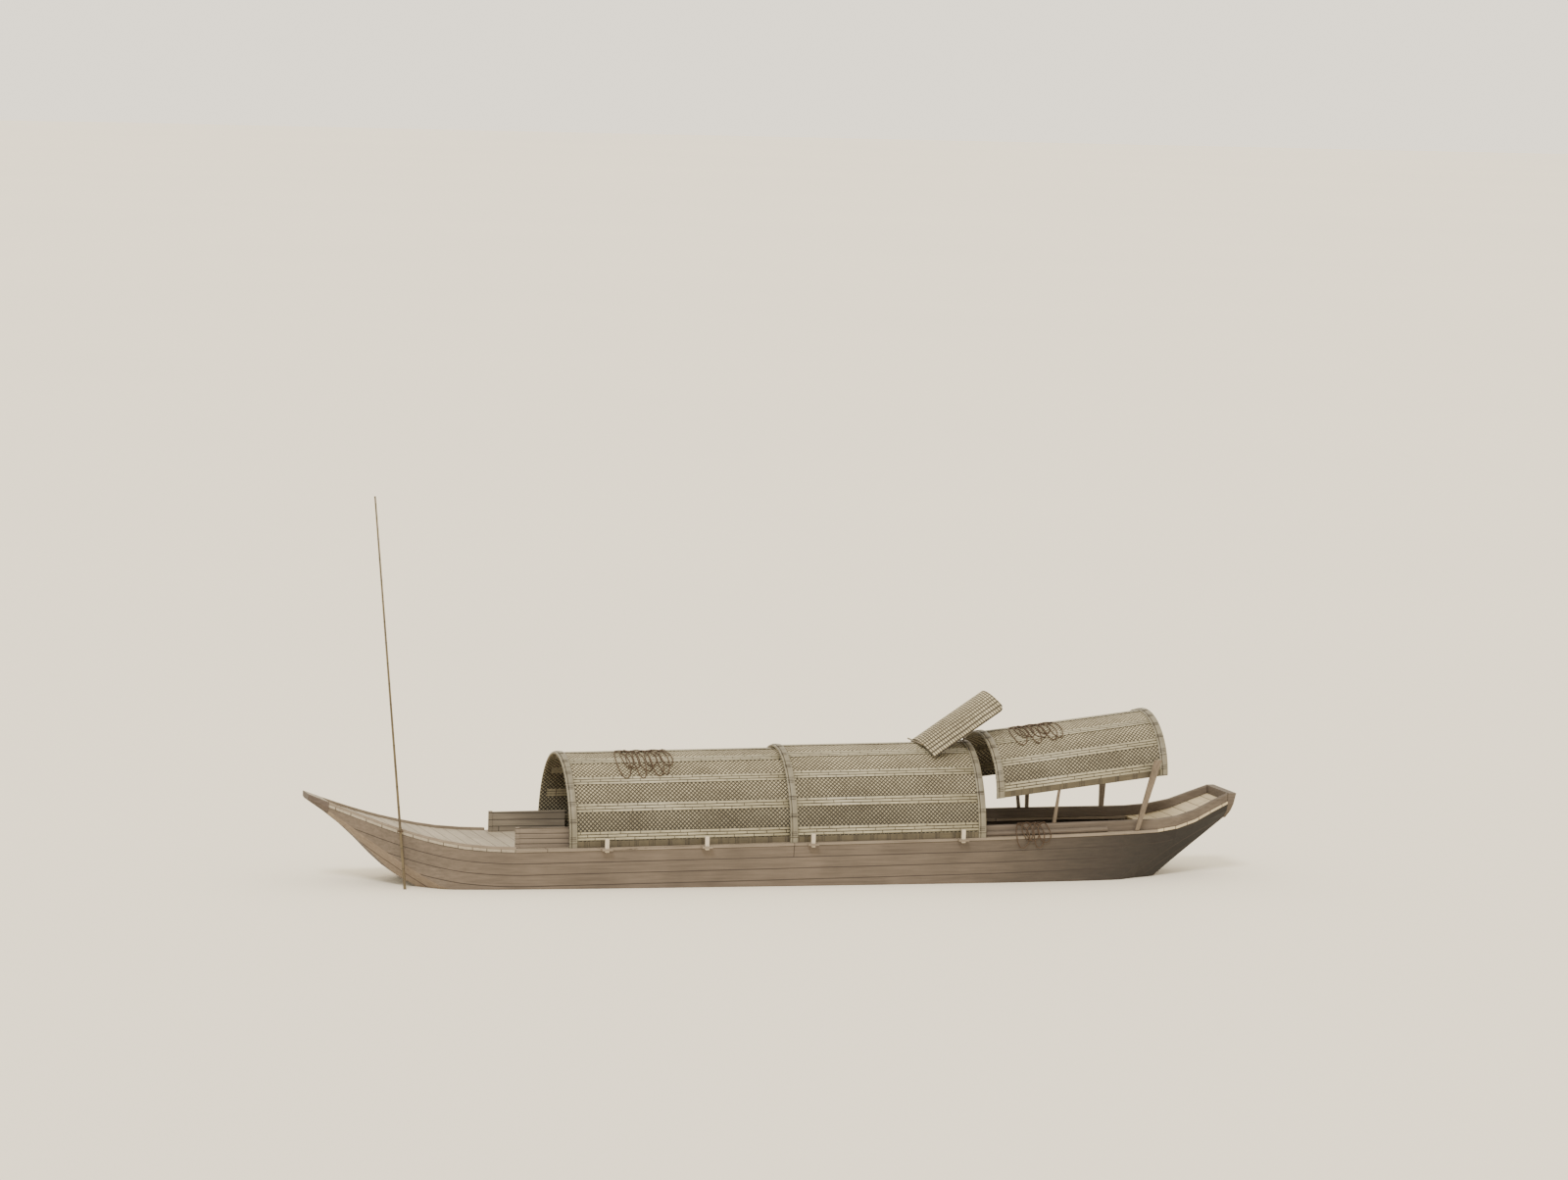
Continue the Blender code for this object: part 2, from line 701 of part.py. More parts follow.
def build_pegs(name, side):
    long, deep, tall = PEG
    for number, x in enumerate(PEG_X, 1):
        middle = beam(x) + LEDGE_OVERHANG + PEG_OFFSET
        low = sheer(x) - PEG_BELOW
        bm = bmesh.new()
        box(bm, (x - long / 2, side * middle - deep / 2, low),
            (x + long / 2, side * middle + deep / 2, low + tall))
        add_object("peg_{}_{}".format(name, number), bm, "dark")


def add_cleat(bm, x, side):
    """Block on the ledge's edge with an upright square hole for a peg."""
    long, deep, _ = PEG
    wide, out, high = CLEAT
    near = beam(x) + LEDGE_OVERHANG - CLEAT_ROOT
    far = near + out
    middle = beam(x) + LEDGE_OVERHANG + PEG_OFFSET
    z0, z1 = sheer(x) - high, sheer(x) - SNUG
    corners = [(-wide / 2, near), (wide / 2, near), (wide / 2, far), (-wide / 2, far)]
    hole_x, hole_y = long / 2 + GAP, deep / 2 + GAP
    hole = [(-hole_x, middle - hole_y), (hole_x, middle - hole_y),
            (hole_x, middle + hole_y), (-hole_x, middle + hole_y)]
    layers = []
    for z in (z0, z1):
        outer = [bm.verts.new((x + u, side * v, z)) for u, v in corners]
        inner = [bm.verts.new((x + u, side * v, z)) for u, v in hole]
        layers.append((outer, inner))
    (outer_low, inner_low), (outer_high, inner_high) = layers
    for i in range(4):
        j = (i + 1) % 4
        bm.faces.new((outer_low[i], outer_low[j], outer_high[j], outer_high[i]))
        bm.faces.new((inner_low[i], inner_high[i], inner_high[j], inner_low[j]))
        bm.faces.new((outer_low[i], inner_low[i], inner_low[j], outer_low[j]))
        bm.faces.new((outer_high[i], outer_high[j], inner_high[j], inner_high[i]))


def build_after_post(name, side):
    """Plank post that leans aft outside the canopy's edge."""
    foot_x = AFTER_POST_X
    head_x = foot_x - AFTER_POST_LEAN
    foot_y, foot_z = beam(foot_x) - AFTER_POST_INSET, sheer(foot_x)
    edge_y = CANOPY_HALF_WIDTH + RIM + AFTER_POST_FOOT[1]
    flare = (edge_y - foot_y) / (canopy_foot(head_x) - LEAN_ROOM - foot_z)
    head_y = foot_y + flare * (AFTER_POST_TOP - foot_z)
    bm = bmesh.new()
    upright(bm, rectangle(foot_x, side * foot_y, *AFTER_POST_FOOT),
            rectangle(head_x, side * head_y, *AFTER_POST_HEAD),
            lambda x: sheer(x) + GAP, lambda _: AFTER_POST_TOP)
    add_object("after_post_" + name, bm, "dark")


def build_mid_post(name, side):
    """Post on the quarter rail under the canopy's edge."""
    middle = quarter_rail_section(MID_POST_X)[0] - QUARTER_RAIL_WIDTH / 2
    head = CANOPY_HALF_WIDTH - MAT / 2
    bm = bmesh.new()
    foot_radius, head_radius = MID_POST_RADIUS
    upright(bm, circle(MID_POST_X, side * middle, foot_radius),
            circle(MID_POST_X, side * head, head_radius), rail_top, lambda x: canopy_foot(x) - SEAM)
    add_object("mid_post_" + name, bm, "dark")


def build_stub(name, x, height):
    """Short post standing on the starboard quarter rail."""
    middle = QUARTER_RAIL_WIDTH / 2 - quarter_rail_section(x)[0]
    outline = rectangle(x, middle, *STUB)
    bm = bmesh.new()
    upright(bm, outline, outline, rail_top, lambda _: rail_top(x) + height)
    add_object("stub_post_" + name, bm, "dark")


def build_spar():
    """Round spar that lies on the port ledge against the rail."""
    rings = []
    for x in span(*SPAR_X):
        y = quarter_rail_section(x)[0] + SPAR_RADIUS + SNUG / 2
        z = sheer(x) + SPAR_RADIUS + SEAM
        rings.append([(x, u, v) for u, v in circle(y, z, SPAR_RADIUS, 12)])
    bm = bmesh.new()
    loft(bm, rings)
    add_object("side_spar", bm, "dark", smooth=True)


# Pole and its rope ring

def build_pole():
    """Long bamboo, even as far as the ring can reach and tapered above."""
    rings = []
    for z, radius in ((POLE_FOOT[1], POLE_RADIUS[0]), (POLE_TAPER_START, POLE_RADIUS[0]),
                      (POLE_TOP[1], POLE_RADIUS[1])):
        centre = pole_at(z)
        rings.append([(x, y, z) for x, y in circle(centre.x, centre.y, radius, 12)])
    bm = bmesh.new()
    loft(bm, rings)
    add_object("pole", bm, "bamboo", pivot=pole_at(POLE_FOOT[1]), smooth=True)


def pole_x(z):
    (foot_x, foot_z), (top_x, top_z) = POLE_FOOT, POLE_TOP
    return foot_x + (top_x - foot_x) * (z - foot_z) / (top_z - foot_z)


def pole_at(z):
    """Centre of the pole at a height, as far out as its rope ring stands off the rail."""
    ring_x = pole_x(GROMMET_HEIGHT)
    slope = (beam(ring_x) - beam(ring_x - GROMMET_RADIUS)) / GROMMET_RADIUS
    off = (GROMMET_RADIUS + GROMMET_ROPE + GAP) * math.hypot(1.0, slope)
    return Vector((pole_x(z), beam(ring_x) + off, z))


def build_grommet():
    """Rope ring at the rail that the pole stands in."""
    centre = pole_at(GROMMET_HEIGHT)
    rings_around, sides = 20, 6
    bm = bmesh.new()
    verts = []
    for i in range(rings_around):
        turn = math.tau * i / rings_around
        ring = []
        for j in range(sides):
            roll = math.tau * j / sides
            reach = GROMMET_RADIUS + GROMMET_ROPE * math.cos(roll)
            out = Vector((reach * math.cos(turn), reach * math.sin(turn), GROMMET_ROPE * math.sin(roll)))
            ring.append(bm.verts.new(centre + out))
        verts.append(ring)
    for i in range(rings_around):
        k = (i + 1) % rings_around
        for j in range(sides):
            m = (j + 1) % sides
            bm.faces.new((verts[i][j], verts[i][m], verts[k][m], verts[k][j]))
    add_object("pole_grommet", bm, "rope", smooth=True)


# Rope coils that lie on the roofs and over the rail

def draped_slab(bm, place, x_range, arc_range, steps=18):
    """Slab with round ends that follows a roof from the ridge down its port side."""
    middle = (x_range[0] + x_range[1]) / 2
    reach = (x_range[1] - x_range[0]) / 2
    rings = []
    for i in range(steps + 1):
        share = i / steps
        arc = arc_range[0] + share * (arc_range[1] - arc_range[0])
        half = reach * (1.0 - 0.35 * abs(2 * share - 1) ** 3)
        rings.append([place(middle - half, arc, 0.0), place(middle + half, arc, 0.0),
                      place(middle + half, arc, ROPE_LAYER), place(middle - half, arc, ROPE_LAYER)])
    loft(bm, rings)


def on_front_roof(x, arc, lift):
    angle = arc / ARCH_HEIGHT
    p = arch_point(ARCH_HALF_WIDTH, ARCH_HEIGHT, angle, LATH + ROPE_SEAT + lift)
    return Vector((x, p.x, straight_roof(x) + p.y))


def on_canopy(x, arc, lift):
    angle = arc / CANOPY_HALF_WIDTH
    p = arch_point(CANOPY_HALF_WIDTH, CANOPY_HEIGHT, angle, LATH + ROPE_SEAT + lift)
    return Vector((x, p.x, canopy_foot(x) + p.y))


def build_roof_ropes():
    bm = bmesh.new()
    draped_slab(bm, on_front_roof, FRONT_ROPE_X, FRONT_ROPE_ARC)
    add_object("front_roof_rope", bm, "rope")
    bm = bmesh.new()
    draped_slab(bm, on_canopy, CANOPY_ROPE_X, CANOPY_ROPE_ARC)
    add_object("canopy_rope", bm, "rope")


def build_quarter_rope():
    """Hank hung over the quarter rail and the spar, down the hull's side."""
    rings = []
    for x in QUARTER_ROPE_X:
        outer, _, top = quarter_rail_section(x)
        inner = outer - QUARTER_RAIL_WIDTH
        deck = sheer(x)
        spar = outer + 2 * SPAR_RADIUS
        edge = beam(x) + LEDGE_OVERHANG
        seat = top + 2 * GAP
        under = [(inner - SNUG, seat - ROPE_LAYER), (inner - SNUG, seat), (outer + SNUG, seat),
                 (spar + 2 * SNUG, deck + 1.4 * SPAR_RADIUS), (edge + SNUG, deck + SNUG),
                 (edge + SNUG, deck - QUARTER_ROPE_DROP)]
        lifts = ((-1.0, 0.0), (-0.8, 0.8), (0.4, 1.0), (0.7, 0.8), (1.0, 0.4), (1.0, 0.0))
        over = [(y + a * ROPE_LAYER, z + b * ROPE_LAYER) for (y, z), (a, b) in zip(under, lifts)]
        rings.append([(x, y, z) for y, z in under + over[::-1]])
    bm = bmesh.new()
    loft(bm, rings)
    add_object("quarter_rope", bm, "rope")


def build():
    clear_scene()
    build_bottom()
    sides = (("port", 1), ("starboard", -1))
    for name, side in sides:
        build_bilge(name, side)
        build_side(name, side)
        build_ledge(name, side)
        build_fore_rail(name, side)
        build_quarter_rail(name, side)
        build_washboard(name, side)
        build_pegs(name, side)
        build_after_post(name, side)
        build_mid_post(name, side)
    build_bow_block()
    build_transom()
    build_foredeck()
    build_plate("stern_deck", (STATIONS[0], AFTER_DECK_END), "deck")
    build_bulkhead("fore_bulkhead", FOREDECK_END)
    build_bulkhead("mid_bulkhead", MID_BULKHEAD)
    build_bulkhead("aft_bulkhead", AFTER_DECK_END - BOARD)
    build_sole("cabin_sole", (MID_BULKHEAD + BOARD + GAP, FOREDECK_END - GAP), CABIN_SOLE)
    build_sole("cockpit_sole", (AFTER_DECK_END + GAP, MID_BULKHEAD - GAP), COCKPIT_SOLE)
    build_roof("front_roof", FRONT_ROOF_X, 0.0)
    build_roof("middle_roof", MIDDLE_ROOF_X, MIDDLE_ROOF_OFFSET)
    build_canopy()
    build_flap()
    build_flap_hinge()
    build_prop()
    for name, x, height in STUBS:
        build_stub(name, x, height)
    build_spar()
    build_pole()
    build_grommet()
    build_roof_ropes()
    build_quarter_rope()


build()
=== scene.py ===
"""Looks of the mat-roofed river boat: camera, light, finishes, bamboo, mats and rope."""
import json
import math
from bisect import bisect_right

import bmesh
import bpy
from mathutils import Matrix, Vector
from mathutils.bvhtree import BVHTree

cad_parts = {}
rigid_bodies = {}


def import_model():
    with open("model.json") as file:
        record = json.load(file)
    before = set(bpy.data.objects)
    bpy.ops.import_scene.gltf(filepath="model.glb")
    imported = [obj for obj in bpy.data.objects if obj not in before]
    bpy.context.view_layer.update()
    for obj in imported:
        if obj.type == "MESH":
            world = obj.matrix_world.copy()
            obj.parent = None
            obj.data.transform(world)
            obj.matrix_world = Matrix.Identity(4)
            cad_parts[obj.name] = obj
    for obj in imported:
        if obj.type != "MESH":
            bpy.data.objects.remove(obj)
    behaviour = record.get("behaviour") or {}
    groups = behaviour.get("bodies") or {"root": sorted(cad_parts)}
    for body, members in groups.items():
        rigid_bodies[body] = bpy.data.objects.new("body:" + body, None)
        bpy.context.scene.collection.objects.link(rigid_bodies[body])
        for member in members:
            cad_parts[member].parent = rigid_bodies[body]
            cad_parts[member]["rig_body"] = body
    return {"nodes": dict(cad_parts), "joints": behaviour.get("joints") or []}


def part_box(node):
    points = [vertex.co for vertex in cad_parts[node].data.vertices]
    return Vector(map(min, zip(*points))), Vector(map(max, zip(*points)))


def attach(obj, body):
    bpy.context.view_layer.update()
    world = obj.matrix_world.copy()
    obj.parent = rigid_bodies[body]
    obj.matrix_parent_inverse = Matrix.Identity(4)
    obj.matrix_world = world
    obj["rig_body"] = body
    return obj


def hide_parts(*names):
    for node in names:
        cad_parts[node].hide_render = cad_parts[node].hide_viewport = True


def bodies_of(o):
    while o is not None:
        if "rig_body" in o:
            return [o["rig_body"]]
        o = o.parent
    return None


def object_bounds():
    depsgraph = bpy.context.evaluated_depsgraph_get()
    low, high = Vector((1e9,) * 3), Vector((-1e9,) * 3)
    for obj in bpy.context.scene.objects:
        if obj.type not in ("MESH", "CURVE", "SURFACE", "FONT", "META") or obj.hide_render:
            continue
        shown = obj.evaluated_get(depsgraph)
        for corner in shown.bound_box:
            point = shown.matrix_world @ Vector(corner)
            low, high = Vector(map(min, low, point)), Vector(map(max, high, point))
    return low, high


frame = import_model()
cad_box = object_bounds()

# Waterline above the flat bottom; all lengths here are in metres
WATERLINE = 0.400

# Camera: bearing, height and tilt of the view, and how large a metre shows
PHOTO_SIZE = (1600, 1204)
VIEW_AZIMUTH = 164.2
VIEW_ELEVATION = 5.5
VIEW_ROLL = 1.55
VIEW_DISTANCE = 110.0
PIXELS_PER_METRE = 54.5
VIEW_AIM = (-0.061, 0.0, 5.808)

# Wood: from where to where painted shade darkens it aft, how fine its grain is along each axis,
# half the width of an open seam and of its dirty edge, how far the butts of the next row step on
# as a share of a board, the length that stands for boards without butts, and how dull it is
STERN_SHADE_X = (-8.2, -1.5)
ALONG_GRAIN = (1.1, 26.0, 26.0)
ATHWART_GRAIN = (26.0, 1.1, 26.0)
UPRIGHT_GRAIN = (26.0, 26.0, 1.1)
SEAM_HALF = 0.003
SEAM_DIRT = 0.011
BUTT_SHIFT = 0.382
NO_BUTTS = 90.0
DULL = (0.60, 0.85)

# Top of the scale on which the wood's node curves hold the hull lines
LINE_TOP = 2.5

# Woven mat: width of one strip of the weave, thickness, how far it bellies, the size of its
# faces, and the laths inside it
WEAVE_STRIP = 0.056
MAT_THICK = 0.020
MAT_BELLY = 0.004
MAT_MESH = 0.060
INNER_LATH = 0.0042

# Dark on bamboo, at its nodes and along its edges: its colour, how far it reaches in from an
# edge, and the width that draws none
NODE_AND_EDGE_DARK = "#3a3223"
DARK_EDGE_REACH = 0.011
NO_EDGE = 1.0

# Split bamboo: spacing of its nodes, one lath, its rows in a band, and the bands' angles from
# the ridge in degrees
BAMBOO_NODE = 0.380
LATH_WIDTH = 0.050
LATH_PITCH = 0.056
LATH_THICK = 0.010
LATH_ROUND = 0.004
LATH_END = 0.130
LATH_ROWS = (-1, 0, 1)
LATH_BANDS = (-82.5, -63.5, -42.5, -21.0, 0.0, 21.0, 42.5, 63.5, 82.5)
CANOPY_BANDS = (-80.0, -55.0, -28.0, 0.0, 28.0, 55.0, 80.0)

# Gap between pieces that lie on each other, and a lath's on its mat
HAIR = 0.0005
LATH_HAIR = 0.0004

# Lashings: cane strip round rims and rails, three turns together
CANE_WIDTH = 0.010
CANE_PITCH = 0.030
CANE_PROUD = 0.003
CANE_TURNS = (-1, 0, 1)
LASHING_PITCH = 0.330

# Rope: its thickness, how steeply it climbs over itself, how it bends over an edge, points to
# a loop and half its width, how far each hank reaches round its roof, what its loops leave
# free at each end of the CAD rope, and how far the quarter hank hangs below the ledge
ROPE_DIAMETER = 0.019
HUMP_SLOPE = 0.30
EDGE_BEND = 0.030
LOOP_POINTS = 44
LOOP_HALF = 0.165
FRONT_HANK_REACH = 0.980
CANOPY_HANK_REACH = 0.890
HANK_MARGIN = 0.130
HANK_DROP = 0.235

# Gap under a rope, over the laths and over the rail
LATH_CLEAR = 0.001
RAIL_CLEAR = 0.004

# Rays that find the wood: how far beyond it they start, and which way they go
AFAR = 3.0
TO_PORT = (0.0, 1.0, 0.0)
TO_STARBOARD = (0.0, -1.0, 0.0)
DOWN = (0.0, 0.0, -1.0)

# Rims, with the share of their broad strip and the gap beside it, and foot rails
RIM_WIDTH = 0.150
RIM_BROAD = 0.72
RIM_THICK = 0.028
RIM_GAP = 0.004
RIM_ROUND = 0.006
FOOT_RAIL = 0.120

# Flap: its size and slope, where its mat starts past the hinge, and the cane bound along its
# edges, a little in from them and sunk into the mat
FLAP_LENGTH = 1.660
FLAP_HALF = 0.720
FLAP_SLOPE = 34.0
FLAP_THICK = 0.022
FLAP_CORNER = 0.100
FLAP_START = 0.018
FLAP_EDGING = 0.018
EDGING_THICK = 0.007
EDGING_SINK = 0.006
EDGING_INSET = 0.008
EDGING_SHORT = 0.020

# Pole: its radius at the butt and at the tip; the ring at a node, its cuts and its swell, and
# how near an end none is cut
POLE_RADIUS = (0.0265, 0.0150)
RING_CUTS = (-0.014, -0.005, 0.004, 0.014)
RING_HALF = 0.008
RING_SWELL = 1.08
RING_MARGIN = 0.02

# Studio: floor, sky and sun
FLOOR_REACH = 700.0
PLANK_INSET = 0.025
SKY_COLOUR = "#f6ecd8"
SKY_STRENGTH = 2.05
SUN_FROM = (0.42, 0.80, 0.95)
SUN_STRENGTH = 2.32
SUN_SPREAD = 14.0
SUN_TINT = (1.0, 0.975, 0.94)


# Shared tools

def linear(hex_colour):
    """sRGB hex to linear RGBA."""
    channels = [int(hex_colour[i:i + 2], 16) / 255 for i in (1, 3, 5)]
    return [c / 12.92 if c <= 0.04045 else ((c + 0.055) / 1.055) ** 2.4 for c in channels] + [1.0]


def add_node(tree, kind, inputs=None, **settings):
    """Add a shader node with its settings, input values and links."""
    made = tree.nodes.new(kind)
    for name, value in settings.items():
        setattr(made, name, value)
    for key, value in (inputs or {}).items():
        socket = made.inputs[key]
        if isinstance(value, bpy.types.NodeSocket):
            tree.links.new(value, socket)
        else:
            socket.default_value = value
    return made


def start_material(name):
    made = bpy.data.materials.new(name)
    made.use_nodes = True
    made.node_tree.nodes.clear()
    return made, made.node_tree


def close_material(tree, colour, roughness, height, depth):
    """Surface with its colour, its roughness and its relief in metres."""
    bump = add_node(tree, "ShaderNodeBump", {"Height": height, "Distance": depth, "Strength": 1.0})
    shader = add_node(tree, "ShaderNodeBsdfPrincipled",
                      {"Base Color": colour, "Roughness": roughness, "Normal": bump.outputs[0]})
    add_node(tree, "ShaderNodeOutputMaterial", {"Surface": shader.outputs[0]})


def new_piece():
    bm = bmesh.new()
    bm.loops.layers.uv.new("UVMap")
    return bm


def show(name, bm, body, look):
    """Turn a bmesh into a finished piece that rides on a body."""
    mesh = bpy.data.meshes.new(name)
    bm.to_mesh(mesh)
    bm.free()
    mesh.materials.append(look)
    piece = bpy.data.objects.new(name, mesh)
    bpy.context.scene.collection.objects.link(piece)
    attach(piece, body)
    return piece


def body_of(node):
    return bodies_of(frame["nodes"][node])[0]


# Hull lines, read from the planking

def line_of(node, pick):
    """Highest or lowest edge of a planking node, from the stern to the bow."""
    levels = {}
    for vertex in frame["nodes"][node].data.vertices:
        levels.setdefault(round(vertex.co.x, 3), []).append(vertex.co.z)
    return [(x, pick(levels[x])) for x in sorted(levels)]


HULL_ENDS = (cad_box[0].x, cad_box[1].x)
SHEER = line_of("side_planking_port", max)
CHINE = line_of("bilge_planking_port", max)


# Materials: wood

def below_line(tree, x, z, line):
    """Distance under a hull line, so that seams run parallel to it."""
    stern, bow = HULL_ENDS
    share = add_node(tree, "ShaderNodeMapRange", {"Value": x, "From Min": stern, "From Max": bow})
    curve = add_node(tree, "ShaderNodeFloatCurve", {"Value": share.outputs[0]})
    points = curve.mapping.curves[0].points
    places = [((px - stern) / (bow - stern), pz / LINE_TOP) for px, pz in line]
    points[0].location = places[0]
    points[1].location = places[-1]
    for place in places[1:-1]:
        points.new(*place)
    curve.mapping.update()
    level = add_node(tree, "ShaderNodeMath", {0: curve.outputs[0], 1: LINE_TOP}, operation="MULTIPLY")
    return add_node(tree, "ShaderNodeMath", {0: level.outputs[0], 1: z},
                    operation="SUBTRACT").outputs[0]


def under_sheer(tree, x, y, z):
    return below_line(tree, x, z, SHEER), x


def under_chine(tree, x, y, z):
    return below_line(tree, x, z, CHINE), x


def along_boat(tree, x, y, z):
    return y, x


def athwart(tree, x, y, z):
    return x, y


def stacked(tree, x, y, z):
    return z, x


def fir(name, tones, grain, planks=None, ends=None):
    """Sawn fir gone grey-brown: streaks along the grain, each board its own tone, dark open seams.

    tones are the light and dark wood and the seam; grain is how fine the streaks are along
    each axis; planks is (how they are counted, their width, their length); ends are the tints
    of the painted shade at the stern and of the bow.
    """
    made, tree = start_material(name)
    place = add_node(tree, "ShaderNodeTexCoord").outputs["Object"]
    axes = add_node(tree, "ShaderNodeSeparateXYZ", {0: place})
    x, y, z = axes.outputs
    stretched = add_node(tree, "ShaderNodeMapping", {"Vector": place, "Scale": grain},
                         vector_type="POINT")
    streaks = add_node(tree, "ShaderNodeTexNoise",
                       {"Vector": stretched.outputs[0], "Scale": 1.0, "Detail": 6.0, "Roughness": 0.60,
                        "Distortion": 0.3})
    patches = add_node(tree, "ShaderNodeTexNoise", {"Vector": place, "Scale": 1.3, "Detail": 4.0})
    light, dark, seam = (linear(tone) for tone in tones)
    faint = add_node(tree, "ShaderNodeMath", {0: patches.outputs[0], 1: 0.5, 2: 0.25},
                     operation="MULTIPLY_ADD")
    blend = add_node(tree, "ShaderNodeMath", {0: streaks.outputs[0], 1: 0.65, 2: faint.outputs[0]},
                     operation="MULTIPLY_ADD")
    share = add_node(tree, "ShaderNodeMapRange",
                     {"Value": blend.outputs[0], "From Min": 0.62, "From Max": 1.02})
    colour = add_node(tree, "ShaderNodeMix", {0: share.outputs[0], 6: dark, 7: light},
                      data_type="RGBA").outputs[2]
    height = add_node(tree, "ShaderNodeMath", {0: streaks.outputs[0], 1: 0.35},
                      operation="MULTIPLY").outputs[0]
    # Painted shade: the wood is multiplied by a tint that darkens it towards the stern
    if ends:
        aft_shade_share = add_node(tree, "ShaderNodeMapRange",
                        {"Value": x, "From Min": STERN_SHADE_X[0], "From Max": STERN_SHADE_X[1]},
                        interpolation_type="SMOOTHSTEP")
        aft_shade_tint = add_node(tree, "ShaderNodeMix",
                            {0: aft_shade_share.outputs[0], 6: linear(ends[0]), 7: linear(ends[1])},
                            data_type="RGBA")
        colour = add_node(tree, "ShaderNodeMix", {0: 1.0, 6: colour, 7: aft_shade_tint.outputs[2]},
                          data_type="RGBA", blend_type="MULTIPLY").outputs[2]
    if planks:
        counted, width, length = planks
        across, lengthwise = counted(tree, x, y, z)
        strake = add_node(tree, "ShaderNodeMath", {0: across, 1: width}, operation="DIVIDE").outputs[0]
        number = add_node(tree, "ShaderNodeMath", {0: strake}, operation="FLOOR").outputs[0]
        shifted = add_node(tree, "ShaderNodeMath", {0: number, 1: BUTT_SHIFT * length, 2: lengthwise},
                           operation="MULTIPLY_ADD").outputs[0]
        board = add_node(tree, "ShaderNodeMath", {0: shifted, 1: length}, operation="DIVIDE").outputs[0]
        board_number = add_node(tree, "ShaderNodeMath", {0: board}, operation="FLOOR").outputs[0]
        gaps = []
        for count, size in ((strake, width), (board, length)):
            from_edge = add_node(tree, "ShaderNodeMath", {0: count, 1: 0.5},
                                 operation="PINGPONG").outputs[0]
            edge = add_node(tree, "ShaderNodeMath", {0: from_edge, 1: size},
                            operation="MULTIPLY").outputs[0]
            gaps.append(add_node(tree, "ShaderNodeMapRange",
                                 {"Value": edge, "From Min": SEAM_HALF, "From Max": SEAM_DIRT},
                                 interpolation_type="SMOOTHSTEP").outputs[0])
        whole = add_node(tree, "ShaderNodeMath", {0: gaps[0], 1: gaps[1]},
                         operation="MINIMUM").outputs[0]
        key = add_node(tree, "ShaderNodeCombineXYZ", {0: number, 1: board_number, 2: 0.5})
        own = add_node(tree, "ShaderNodeTexWhiteNoise", {"Vector": key.outputs[0]},
                       noise_dimensions="3D")
        tone = add_node(tree, "ShaderNodeMapRange",
                        {"Value": own.outputs[0], "To Min": 0.93, "To Max": 1.04})
        colour = add_node(tree, "ShaderNodeMix", {0: 1.0, 6: colour, 7: tone.outputs[0]},
                          data_type="RGBA", blend_type="MULTIPLY").outputs[2]
        colour = add_node(tree, "ShaderNodeMix", {0: whole, 6: seam, 7: colour},
                          data_type="RGBA").outputs[2]
        height = add_node(tree, "ShaderNodeMath", {0: height, 1: whole, 2: 0.3},
                          operation="SMOOTH_MIN").outputs[0]
    shine = add_node(tree, "ShaderNodeMapRange",
                     {"Value": patches.outputs[0], "To Min": DULL[0], "To Max": DULL[1]})
    close_material(tree, colour, shine.outputs[0], height, 0.006)
    return made


# Materials: mat, bamboo, rope

